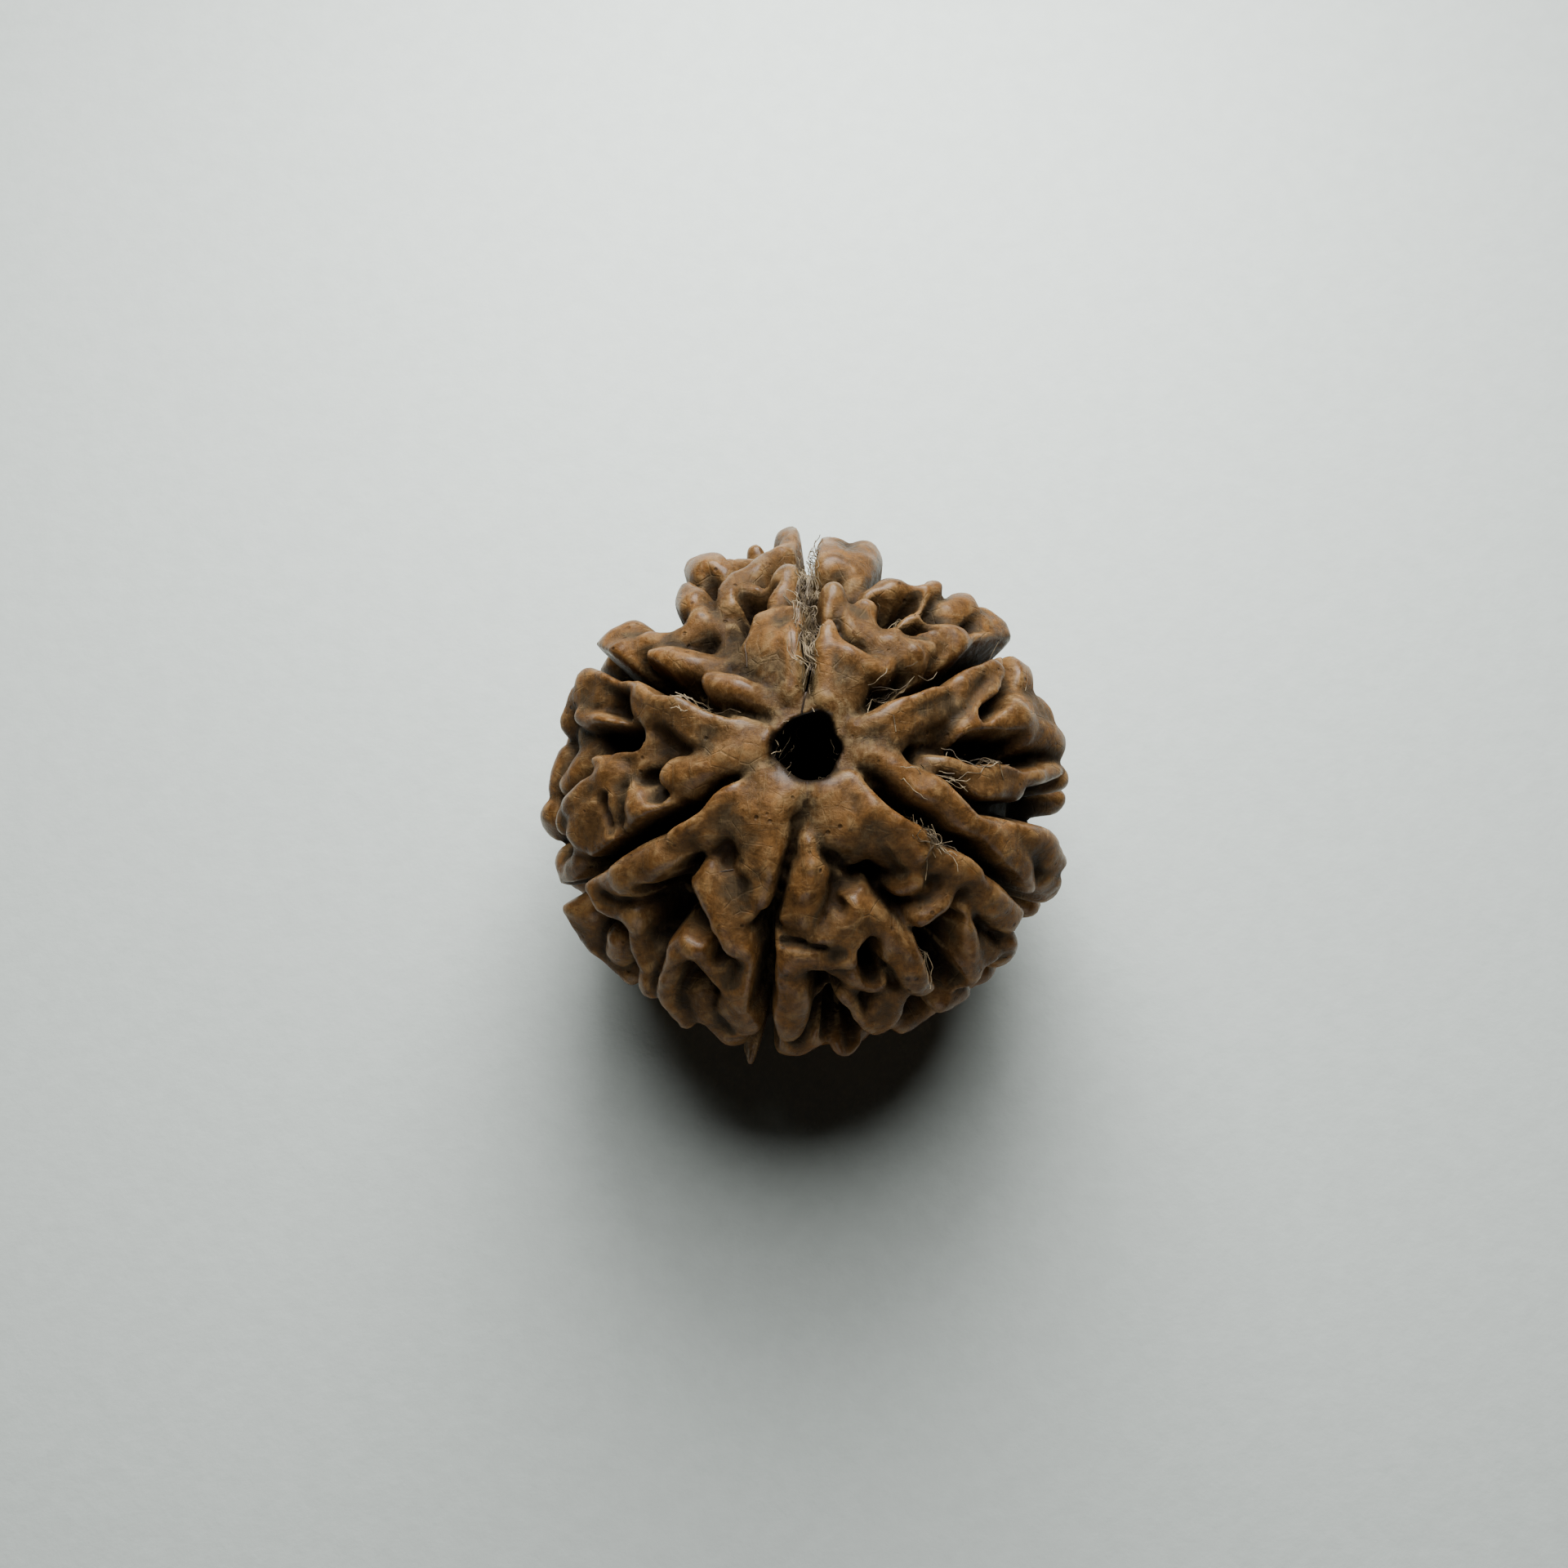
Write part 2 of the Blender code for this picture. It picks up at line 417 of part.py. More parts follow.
def hole_cutter():
    """A rod that narrows to the middle, for the hole that the thread passes."""
    bm = bmesh.new()
    bmesh.ops.create_grid(bm, x_segments=HOLE_SIDES, y_segments=HOLE_RINGS, size=1)
    reach = HALF_HEIGHT * 1.3
    for vertex in bm.verts:
        turn = vertex.co.x * math.pi
        height = vertex.co.y * reach
        radius = THROAT_RADIUS + (MOUTH_RADIUS - THROAT_RADIUS) * (height / HALF_HEIGHT) ** 2
        radius *= 1 + MOUTH_WAVE * math.cos(6 * turn)
        vertex.co = (radius * math.cos(turn), radius * math.sin(turn), height)
    bmesh.ops.remove_doubles(bm, verts=bm.verts, dist=1e-4)
    bmesh.ops.holes_fill(bm, edges=bm.edges)
    bmesh.ops.recalc_face_normals(bm, faces=bm.faces)
    bmesh.ops.scale(bm, verts=bm.verts, vec=(MM, MM, MM))
    bmesh.ops.translate(bm, verts=bm.verts, vec=(0, 0, REST_HEIGHT * MM))
    mesh = bpy.data.meshes.new("hole_cutter")
    bm.to_mesh(mesh)
    bm.free()
    return bpy.data.objects.new("hole_cutter", mesh)


def rest_cutter():
    """A block below the surface that the bead stands on, to cut its lowest crests flat."""
    bm = bmesh.new()
    side = 3 * HALF_WIDTH * MM
    bmesh.ops.create_cube(bm, size=side)
    bmesh.ops.translate(bm, verts=bm.verts, vec=(0, 0, -side / 2))
    mesh = bpy.data.meshes.new("rest_cutter")
    bm.to_mesh(mesh)
    bm.free()
    return bpy.data.objects.new("rest_cutter", mesh)


def stone_material():
    """Waxy orange-brown of dried stone."""
    material = bpy.data.materials.new("dried_stone")
    material.use_nodes = True
    shader = material.node_tree.nodes["Principled BSDF"]
    shader.inputs["Base Color"].default_value = (0.25, 0.12, 0.06, 1)
    shader.inputs["Roughness"].default_value = 0.5
    shader.inputs["Metallic"].default_value = 0
    return material


def new_collection(name):
    collection = bpy.data.collections.new(name)
    bpy.context.scene.collection.children.link(collection)
    return collection


def add_cut(stone, cutter, collection):
    """Takes a cutter's shape out of the stone."""
    collection.objects.link(cutter)
    cutter.hide_render = True
    cutter.display_type = "WIRE"
    cut = stone.modifiers.new(cutter.name, "BOOLEAN")
    cut.operation = "DIFFERENCE"
    cut.solver = "EXACT"
    cut.object = cutter


def add_even_surface(stone):
    """Gives the stretched sphere even faces, then only as many as the form needs."""
    remesh = stone.modifiers.new("even", "REMESH")
    remesh.mode = "VOXEL"
    remesh.voxel_size = VOXEL * MM
    soften = stone.modifiers.new("soften", "SMOOTH")
    soften.factor = 0.5
    soften.iterations = SOFTENING
    graph = bpy.context.evaluated_depsgraph_get()
    even = stone.evaluated_get(graph).data
    even.calc_loop_triangles()
    thin = stone.modifiers.new("thin", "DECIMATE")
    thin.ratio = TRIANGLES / len(even.loop_triangles)


def main():
    for obj in list(bpy.data.objects):
        bpy.data.objects.remove(obj)
    beads = new_collection("rudraksha_bead")
    cutters = new_collection("cutters")
    bead = bpy.data.objects.new("bead", stone_mesh())
    beads.objects.link(bead)
    bead.data.materials.append(stone_material())
    add_even_surface(bead)
    add_cut(bead, hole_cutter(), cutters)
    add_cut(bead, rest_cutter(), cutters)


main()
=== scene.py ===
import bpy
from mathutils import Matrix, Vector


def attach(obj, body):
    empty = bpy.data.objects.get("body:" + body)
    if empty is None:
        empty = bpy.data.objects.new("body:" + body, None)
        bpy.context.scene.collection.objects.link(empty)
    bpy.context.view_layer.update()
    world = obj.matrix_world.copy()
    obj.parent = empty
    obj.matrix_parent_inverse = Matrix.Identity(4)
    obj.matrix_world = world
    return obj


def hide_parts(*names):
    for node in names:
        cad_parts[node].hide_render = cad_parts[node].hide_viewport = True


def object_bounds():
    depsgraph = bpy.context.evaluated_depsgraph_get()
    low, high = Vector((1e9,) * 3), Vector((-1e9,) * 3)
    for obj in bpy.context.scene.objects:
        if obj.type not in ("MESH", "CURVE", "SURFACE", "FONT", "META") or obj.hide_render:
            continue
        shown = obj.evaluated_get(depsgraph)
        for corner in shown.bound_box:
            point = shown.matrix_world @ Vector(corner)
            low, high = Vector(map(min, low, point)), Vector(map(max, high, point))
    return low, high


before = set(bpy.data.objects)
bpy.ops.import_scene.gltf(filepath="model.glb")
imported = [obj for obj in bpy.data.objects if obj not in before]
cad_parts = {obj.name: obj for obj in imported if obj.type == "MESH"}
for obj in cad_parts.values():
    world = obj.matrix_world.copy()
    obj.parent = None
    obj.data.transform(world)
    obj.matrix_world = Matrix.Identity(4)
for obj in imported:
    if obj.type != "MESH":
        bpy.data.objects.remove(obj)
cadBox = [list(corner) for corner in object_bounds()]

import math
import random

import bmesh
import bpy
import numpy as np
from mathutils import Matrix, Vector

print("frame loaded, nodes:", sorted(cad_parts))

mm = 0.001

# the stone, in mm and degrees: the same form as the solid's, with finer relief on it
stone = {
    "halfWidth": 11.0,
    "halfHeight": 9.3,
    "valleyDrop": 2.8,
    "collarDrop": 1.0,
    "collarPolars": (12, 27),
    "wallSlope": 5.0,
    "fillet": 0.2,
    "cutFillet": 0.3,
    "grooveHalfWidth": 0.1,
    "grooveSlope": 9.0,
    "pitSlope": 9.0,
    "lowestMirroredPolar": 84,   # a crest that runs lower isn't repeated on the hidden half
    "mouthRadius": 1.34,
    "throatRadius": 1.05,
    "mouthWave": 0.035,
    "mouthRough": 0.06,
    "mouthRoughLength": 1.3,
    "mouthStretch": 1.5,      # the roughness is longer along the hole than round it
    "mouthSeed": 21,
    "holeSides": 72,
    "holeRings": 40,
    "holeOverrun": 1.3,       # the cutter's length over the stone's
    "restHeight": 8.2,
    "ridgeReach": 20,         # degrees from its crest line past which a ridge does nothing
    "slotReach": 12,          # and a groove or pit
    "noRidge": -20.0,         # a height far below any ridge
    "turnedSeed": 6,
    "turnedSpread": (2, 1.5, 0.25),   # most change in azimuth, polar angle and drop
    "sphereSubdivisions": 8,
    "voxel": 0.15,
    "softening": 2,
    "triangles": 190000,
    "sway": 0.10,             # how far the crests wander sideways
    "swayLength": 2.6,
    "swaySeeds": (11, 12, 13),
    "lumps": ((2.2, 0.06, 3), (0.9, 0.02, 4), (0.45, 0.007, 5)),   # wavelength, height, seed
}

beadMiddle = Vector((0, 0, stone["restHeight"] * mm))

# small holes in the broken skin of one plate, too fine for the solid, given as the pits are
smallPits = [
    (0.10, 1.0, (231.5, 32.5), (233, 33)),
    (0.12, 1.2, (236.5, 34), (239.5, 34.5)),
    (0.08, 0.9, (243.5, 31), (245, 31.5)),
    (0.10, 1.0, (246.5, 34.5), (248.5, 35)),
    (0.06, 0.8, (230, 36.5), (231, 37)),
]

# the six grooves between the faces: azimuth, polar angle and drop in mm down the upper half
grooves = [
    [(35, 21, 1.2), (33, 30, 2.2), (31, 40, 3.2), (34, 58, 3.8), (33, 80, 3.0)],
    [(90, 16, 1.2), (90, 24, 2.0), (90, 34, 2.8), (90, 45, 3.4), (90, 62, 3.8), (90, 80, 3.0)],
    [(156, 20, 1.2), (155, 30, 2.4), (153, 40, 3.4), (151, 60, 3.8), (151, 80, 3.0)],
    [(202, 17, 1.3), (205, 26, 2.6), (206, 36, 3.4), (204, 50, 3.8), (204, 65, 3.8), (204, 80, 3.0)],
    [(261, 20, 1.2), (259, 32, 2.0), (257, 45, 3.2), (258, 60, 3.8), (261, 80, 3.0)],
    [(326, 17, 1.3), (327, 26, 2.8), (328, 38, 3.8), (331, 58, 3.8), (330, 80, 3.0)],
]

# ridges and knobs of each face: half width in mm, then azimuth, polar angle and drop in mm
northEast = [
    (0.5, (74, 15, 0.7), (78, 20, 0.45), (80, 26, 0.25), (80.5, 31, 0.1)),
    (0.45, (80.5, 31.5, 0.15), (73, 27.5, 0.25), (66, 26, 0.35), (56.5, 27, 0.4),
     (49.5, 29.5, 0.5)),
    (0.9, (66, 15, 0.8), (70, 21, 0.55), (71, 25, 0.5)),
    (0.9, (56, 17, 0.85), (58, 22, 0.6)),
    (0.9, (68, 31, 1.5), (58, 31, 1.2), (52, 32, 1.0)),
    (0.7, (81.5, 45, 0.15)),
    (0.6, (83.5, 42, 0.3), (84.5, 38, 0.5)),
    (0.5, (80, 44, 0.3), (74, 39.5, 0.5), (67, 36.5, 0.6), (60, 36, 0.6), (54, 36, 0.5)),
    (0.85, (54, 34, 0.6), (48, 36.5, 0.5), (43.5, 39, 0.45)),
    (0.5, (44.5, 38.5, 0.3)),
    (0.4, (55, 38.5, 0.6), (49, 40.5, 0.45), (43.5, 43.5, 0.4)),
    (0.9, (84, 60, 0.2), (85, 68, 0), (84, 76, -0.1)),
    (0.9, (77.5, 60, 0.3), (77, 68, 0.05), (76.5, 74, 0)),
    (0.5, (76, 56, 0.6), (76, 50, 1.0)),
    (0.4, (70, 43, 0.6), (65, 39.5, 0.7), (60.5, 39, 0.75), (56.5, 42, 0.65), (53.5, 46, 0.6),
     (51, 48.5, 0.5)),
    (0.45, (69, 44, 0.3)),
    (0.6, (55, 41, 1.1)),
    (0.6, (68.5, 51, 0.4), (66.5, 55, 0.3)),
    (0.5, (66, 55, 0.4), (62, 57, 0.4), (58.5, 58, 0.3)),
    (0.45, (57.5, 56, 0.3), (57, 59, 0.1), (57, 62.5, -0.15)),
    (0.65, (57, 55, 0.45), (55, 50, 0.6)),
    (0.75, (48.5, 60, 0.1), (48.5, 67, -0.15)),
    (0.5, (50.5, 49, 0.7), (46, 46, 0.8), (43, 43, 0.9)),
    (0.35, (42, 41, 1.1), (37, 38.5, 1.3), (33, 36.5, 1.6)),
    (0.9, (46, 50, 0.55), (43, 53, 0.35), (41, 54, 0.3)),
    (0.8, (39, 46, 0.9), (38, 50, 0.6)),
    (1.0, (41.5, 67, 0.1), (42, 73, -0.1)),
    (0.8, (36, 60, 0.3), (35, 68, 0.15), (35, 72, 0.1)),
]
northWest = [
    (0.5, (106, 16, 0.7), (100.5, 22, 0.5), (97, 29, 0.35), (94.5, 36, 0.3)),
    (0.9, (110, 19, 0.8), (104, 27, 0.55), (101, 36, 0.5)),
    (0.9, (114, 22, 0.85), (110, 30, 0.65), (108, 37, 0.65)),
    (0.4, (95.5, 38, 0.35), (102, 39.5, 0.5), (109, 39.5, 0.7)),
    (0.6, (117, 28, 0.85), (116, 34, 0.85)),
    (1.0, (124, 27, 1.15), (126, 34, 1.2)),
    (0.8, (133, 36, 1.15), (129, 41, 1.3), (122, 39, 1.4)),
    (0.65, (128, 17, 0.8), (134, 21, 0.6), (139, 26, 0.4), (143.5, 30.5, 0.35)),
    (0.6, (136, 34, 0.9), (139.5, 39, 0.6), (143, 44, 0.4), (147.5, 49, 0.25)),
    (0.6, (137, 39, 0.85), (139, 44, 0.7), (143, 48, 0.6)),
    (1.0, (147, 62, 0), (147.5, 69, -0.1), (142.5, 67, -0.1)),
    (0.8, (141.5, 57, 0.35), (140, 54, 0.5)),
    (0.6, (137, 52, 0.7), (131, 50, 0.75), (126, 50, 0.7)),
    (0.8, (124, 58, 0.25), (123.5, 62, 0.2)),
    (0.7, (124, 52, 0.6), (122.5, 46, 1.0)),
    (0.85, (115.5, 70, -0.1), (114.5, 76, -0.15)),
    (0.5, (112.5, 67, 0.4), (107, 71.5, 0.5), (103, 73, 0.6)),
    (0.4, (101.5, 79, 0.1)),
    (0.5, (116, 50, 0.6), (113.5, 55, 0.45), (109, 59, 0.35), (103, 62, 0.3), (97.5, 66, 0.3)),
    (0.6, (112, 52, 0.7), (107, 55, 0.6)),
    (0.5, (95.5, 68, 0.2), (94, 76, -0.2), (93.5, 82, -0.5)),
    (0.8, (96.5, 53, 0.3), (97, 48, 0.4), (97.5, 43, 0.6)),
    (0.6, (108, 84, 0.3), (112, 90, 0.1)),
    (0.5, (146, 80, 0.8), (149, 90, 0.7)),
]
west = [
    (0.55, (166, 14, 0.7), (163.5, 19, 0.45), (161.5, 26, 0.3), (160, 32, 0.2),
     (158.5, 39, 0.15), (157.5, 47, 0.15)),
    (0.75, (170, 20, 0.7), (166.5, 28, 0.5), (164, 36, 0.45), (162.5, 44, 0.45), (161, 49, 0.4)),
    (0.7, (171, 30, 1.0), (169, 38, 1.0), (168, 44, 0.9)),
    (0.95, (176, 14, 0.75), (178, 20, 0.6), (178, 26, 0.7)),
    (0.8, (187, 14, 0.7), (189, 21, 0.45), (190, 29, 0.35), (189.5, 36, 0.45)),
    (0.6, (196, 20, 0.8), (197, 28, 0.8), (196, 36, 0.8)),
    (0.7, (178, 40, 1.3), (179, 45, 0.9)),
    (0.6, (184, 46, 0.9), (184, 52, 0.7)),
    (0.4, (173, 43, 0.9), (176, 47, 0.7), (178.5, 52, 0.6)),
    (0.5, (179, 57, 0.5), (182, 56, 0.5), (184, 52, 0.6)),
    (0.3, (170, 60, 0.8), (174, 61, 0.7), (178, 59, 0.6)),
    (0.55, (158, 46.5, 0.5), (154.5, 51.5, 0.3), (154, 57, 0.2), (154.5, 63, 0.05),
     (156.5, 68, -0.1)),
    (0.8, (156.5, 68, -0.1), (160.5, 75, 0.05), (164, 77, 0.2)),
    (0.9, (158, 63, 0.35), (160, 70, 0.25)),
    (0.5, (165, 67, 0.3), (167.5, 60, 0.45), (170, 53, 0.6), (172, 46, 0.85)),
    (0.9, (169, 72, 0.9), (173, 68, 1.0), (177, 72, 0.8), (181, 76, 0.5)),
    (0.8, (172, 80, 0.5), (179, 84, 0.35)),
    (0.75, (185, 86, 0), (186, 91, 0.05)),
    (0.55, (184, 56, 0.5), (185, 62, 0.25), (187, 68, 0.15), (190, 75, 0.15)),
    (1.1, (191, 56, 0.4), (192, 63, 0.25), (195, 70, 0.2)),
    (0.7, (199, 58, 0.6), (201, 66, 0.5)),
    (0.65, (191.5, 48, 0.55), (195.5, 47, 0.4), (199, 45, 0.4), (199.5, 41.5, 0.6)),
    (0.7, (201, 50, 0.6), (202, 46, 0.6)),
    (0.95, (196, 88, 0.2), (203, 86, 0.1)),
    (0.6, (161, 86, 0.8), (168, 90, 0.7)),
    (0.7, (199, 76, 0.5), (200, 82, 0.3)),
]
southWest = [
    (0.5, (212, 14, 0.65), (212.5, 21, 0.35), (212.5, 29, 0.2), (212, 35, 0.2), (213, 40, 0.3)),
    (0.9, (220, 15, 0.75), (221, 22, 0.5), (221, 29, 0.5), (220, 35, 0.55)),
    (1.05, (230, 14, 0.75), (231, 21, 0.5), (232, 27, 0.55)),
    (1.0, (241, 14, 0.7), (243, 21, 0.45), (244, 28, 0.45), (247, 34, 0.45)),
    (0.6, (250, 14, 0.75), (253, 19, 0.7), (253.5, 26, 0.55), (252.5, 33, 0.5), (251, 40, 0.45)),
    (0.6, (227, 34, 1.1), (231, 36, 1.3)),
    (0.95, (215.5, 44, 0.45), (213.5, 50.5, 0.25), (212, 57, 0.2), (211, 62, 0.25)),
    (0.5, (218, 45, 0.7), (216.5, 52, 0.6)),
    (0.6, (207.5, 65, 0.3), (208, 70, 0.2), (211.5, 71, 0.35), (216, 69, 0.5), (221, 67, 0.6)),
    (0.5, (221, 67, 0.6), (224, 71, 0.6), (226.5, 77, 0.5)),
    (0.7, (212, 63.5, 0.4), (215.5, 60, 0.6)),
    (1.15, (208.5, 85, -0.2), (213, 91, -0.05)),
    (0.8, (220, 81, 0.5), (221, 87, 0.4)),
    (0.95, (232, 43.5, 0.45), (238, 46.5, 0.25), (244, 50, 0.2), (249, 54, 0.2)),
    (0.7, (240, 41.5, 0.7), (247, 46, 0.5)),
    (0.6, (241, 55, 0.4), (237.5, 59.5, 0.2), (235.5, 64, 0.15)),
    (0.8, (240, 61, 0.4), (245, 62.5, 0.45), (250, 66, 0.45)),
    (0.8, (255, 55, 0.4), (255, 62, 0.25), (255, 70, 0.2), (255, 79, 0.2)),
    (0.6, (251.5, 68, 0.5), (252, 76, 0.4)),
    (1.0, (253, 86, 0.1), (253, 91, 0.1)),
    (0.5, (235.5, 66, 0.2), (236, 73, 0.1), (238, 80, 0), (243, 86, -0.05)),
    (1.0, (243, 77, 0.5), (247, 82, 0.3)),
    (0.8, (226.5, 75, 1.6), (228, 74.5, 1), (229, 78, 0.5)),
    (0.7, (232, 82, 0.1)),
    (0.6, (217, 92, 0.2), (225, 93, 0.2)),
]
south = [
    (0.5, (316, 14, 0.65), (319, 20, 0.35), (320, 29, 0.15), (318.5, 38, 0.15)),
    (0.6, (313, 24, 0.35), (314, 32, 0.3), (313, 38, 0.4)),
    (0.45, (317, 40, 0.3), (311, 43, 0.6), (305.5, 44.5, 0.9)),
    (0.95, (285, 14, 0.7), (289, 20, 0.5), (293, 25, 0.6), (296, 30, 1.1)),
    (1.0, (300, 14, 0.7), (303, 22, 0.5), (306, 29, 0.55), (309, 36, 0.9)),
    (0.7, (275, 14, 0.75), (277, 19, 0.7), (282, 24, 0.7)),
    (0.35, (270.5, 21, 1.0), (270.5, 25, 0.5)),
    (0.5, (270.5, 26, 0.45), (270.3, 29, 0.3)),
    (0.8, (270, 33, 0.3), (269, 36, 0.3)),
    (1.1, (268.5, 39, 0.4), (267, 43, 0.4)),
    (0.4, (274, 30, 1.1), (279, 32.5, 1.3), (284, 37, 1.35), (286.5, 41, 1.1), (286, 45, 0.6)),
    (0.6, (286, 43, 0.7), (284, 49, 0.35), (282.5, 54, 0.2)),
    (0.5, (281, 54.5, 0.25), (275, 55, 0.3), (269, 55, 0.35), (263.5, 55.5, 0.35)),
    (0.85, (264.5, 58, 0.3), (265.5, 64, 0.2), (266, 71, 0.2), (265.5, 77, 0.2)),
    (0.65, (276.5, 57.5, 0.8), (281.5, 60, 0.6), (286.5, 65, 0.45)),
    (0.8, (289.5, 43, 0.8), (291.5, 49, 0.4)),
    (0.95, (293.5, 54, 0.25), (296.5, 60, 0.15), (298.5, 67, 0.1), (299, 71, 0.3)),
    (0.5, (306, 53.5, 0.35), (310, 53, 0.4), (316, 51.5, 0.45), (320, 50, 0.4)),
    (0.8, (311, 46, 0.9)),
    (0.85, (321, 44.5, 0.35), (323.5, 49, 0.25), (324.5, 54, 0.25)),
    (0.75, (323.5, 59, 0.3), (324, 66, 0.2), (325.5, 74, 0.2)),
    (0.45, (317, 59, 0.6), (314.5, 64, 0.5), (312.5, 71, 0.4), (310, 80, 0.2)),
    (0.85, (305.7, 73, 0.3), (306, 79, 0.25)),
    (0.75, (322, 80, 0.15), (320, 86, 0.2)),
    (0.9, (315, 74, 0.6), (315, 80, 0.4)),
    (0.35, (279, 66, 0.6), (282, 72, 0.35), (284.5, 79, 0.15), (286.5, 74, 0.35), (289, 69, 0.5)),
    (0.5, (285.5, 85, 0.3), (289, 78, 0.3), (292, 71, 0.4)),
    (0.35, (275, 71, 0.8)),
    (0.75, (262.5, 84, 0.1), (266, 89, 0.1), (272, 85, 0.3)),
    (0.8, (278.5, 90, 0.1)),
    (0.6, (302, 85, 0.3), (307, 90, 0.2)),
    (0.6, (286, 88, 0.6), (290, 92, 0.8)),
    (0.6, (319, 90, 0.3)),
    (0.75, (264, 53, 0.35), (270, 52, 0.35), (275, 49, 0.3), (280.5, 46.5, 0.3), (285, 43.5, 0.4)),
]
east = [
    (0.5, (378, 13.5, 0.65), (382, 20, 0.4), (387, 26, 0.2), (388, 32, 0.2), (389, 38.5, 0.3)),
    (0.9, (370, 15, 0.8), (375, 22, 0.55), (379, 29, 0.5), (381, 35, 0.6)),
    (0.8, (368, 22, 0.9), (370, 30, 1.1), (374, 36, 1.2)),
    (0.8, (361, 18, 0.85), (362, 24, 1.1)),
    (0.9, (364, 34, 1.7), (370, 40, 1.4)),
    (0.5, (391, 57, 0.15), (387, 58.5, 0.2), (382, 55, 0.25), (378, 50, 0.35), (371.5, 43, 0.7)),
    (0.75, (390, 53, 0.25), (386, 47, 0.4), (382, 42, 0.7), (376, 41, 1.0)),
    (0.95, (389, 65, 0.1), (385, 71, 0.1)),
    (0.7, (385, 65, 0.4), (381, 68, 0.6)),
    (1.0, (370.5, 45, 0.6), (372, 52, 0.3), (372.5, 60, 0.15), (372, 69, 0.1), (370, 78, 0.1)),
    (0.7, (375, 48, 0.7), (377, 56, 0.35), (378.5, 66, 0.2), (377, 76, 0.15)),
    (0.75, (363.5, 84, 0.05)),
    (0.35, (358, 62, 0.7), (361, 70, 0.5), (364, 78, 0.3)),
    (0.45, (354, 33, 1.0), (355, 38, 0.8), (356, 45, 0.7), (358, 52, 0.65), (360, 58, 0.6)),
    (0.8, (352, 47, 0.9), (353, 54, 0.8), (355, 61, 0.7)),
    (0.6, (347.5, 42, 0.9), (348.5, 49, 0.9)),
    (0.7, (352, 15, 0.7), (349.5, 22, 0.45), (345.5, 27, 0.35), (341, 32.5, 0.25)),
    (0.7, (341, 32.5, 0.25), (338, 38, 0.2), (337.5, 44, 0.2), (337, 50, 0.3)),
    (0.8, (337, 53, 0.35), (336.5, 59, 0.2), (335.5, 66, 0.2), (334, 74, 0.2)),
    (0.6, (344, 54, 0.6), (343.5, 60, 0.3), (342.5, 67, 0.1), (343, 76, -0.1), (343.5, 84, -0.1)),
    (0.8, (338, 80, 0), (338, 88, -0.05)),
]

# pits: half width and depth in mm, then azimuth and polar angle
pits = [
    (0.15, 1.8, (55, 45), (49.5, 50)),
    (0.25, 3.4, (65.5, 48.5), (61, 49.5), (58, 53)),
    (0.25, 3.0, (109, 51), (102.5, 49.5)),
    (0.2, 2.2, (111.5, 49.5), (109.5, 50)),
    (0.3, 2.8, (118, 62), (116.5, 64)),
    (0.2, 1.6, (120, 43), (122, 43)),
    (0.35, 4.0, (172, 48), (172.5, 55), (172.5, 61)),
    (0.2, 1.1, (176, 35.5), (178, 36)),
    (0.15, 1.3, (189.5, 56), (193.5, 56.5), (198.5, 57)),
    (0.25, 1.4, (195, 42), (196, 41)),
    (0.25, 1.9, (186, 43), (188, 45)),
    (0.25, 2.4, (222.5, 43), (223, 46)),
    (0.28, 3.6, (220, 57), (223, 57.5), (232, 55.5), (237, 54)),
    (0.2, 2.6, (242, 54.5), (246, 59.5)),
    (0.2, 1.2, (280, 40.5), (282, 42)),
    (0.06, 1.5, (262, 50.5), (266.5, 50), (271, 50), (275, 49.5)),
    (0.15, 3.2, (287, 52.5), (286.5, 57.5), (286.5, 62.5)),
    (0.4, 3.8, (304.5, 60), (304.5, 67), (304, 78)),
    (0.15, 2.2, (310, 60), (314, 59.5)),
    (0.38, 3.6, (276.5, 72), (276.5, 83)),
    (0.3, 3.0, (280, 84), (281, 87)),
    (0.4, 4.2, (364.5, 45), (364, 52), (364.5, 59)),
    (0.3, 1.9, (357, 28), (359, 29)),
    (0.2, 1.2, (349, 37), (350, 38)),
    (0.35, 2.2, (351.5, 66), (351.5, 76), (351, 88)),
    (0.3, 2.4, (346.5, 40.5), (344, 46.5), (346, 55), (349.5, 64.5)),
    (0.15, 2.0, (391, 66), (384, 61.5), (378, 55), (374.5, 47.5)),
]
faces = [northEast, northWest, west, southWest, south, east]


def meshFrom(bm, name):
    mesh = bpy.data.meshes.new(name)
    bm.to_mesh(mesh)
    bm.free()
    return mesh


def addObject(name, data):
    obj = bpy.data.objects.new(name, data)
    bpy.context.scene.collection.objects.link(obj)
    return obj


def addModifier(obj, name, kind, **settings):
    made = obj.modifiers.new(name, kind)
    for key, value in settings.items():
        setattr(made, key, value)


def vertexValues(mesh, kind="co"):
    values = np.empty(len(mesh.vertices) * 3, np.float32)
    mesh.vertices.foreach_get(kind, values)
    return values.reshape(-1, 3)


def directions(azimuth, polar):
    a = np.radians(azimuth)
    p = np.radians(polar)
    return np.stack((np.cos(a) * np.sin(p), np.sin(a) * np.sin(p), np.cos(p)), -1)


def outerRadius(unit):
    across = (unit[..., 0] ** 2 + unit[..., 1] ** 2) / stone["halfWidth"] ** 2
    return 1 / np.sqrt(across + unit[..., 2] ** 2 / stone["halfHeight"] ** 2)


def smoothStep(low, high, value):
    t = np.clip((value - low) / (high - low), 0, 1)
    return t * t * (3 - 2 * t)


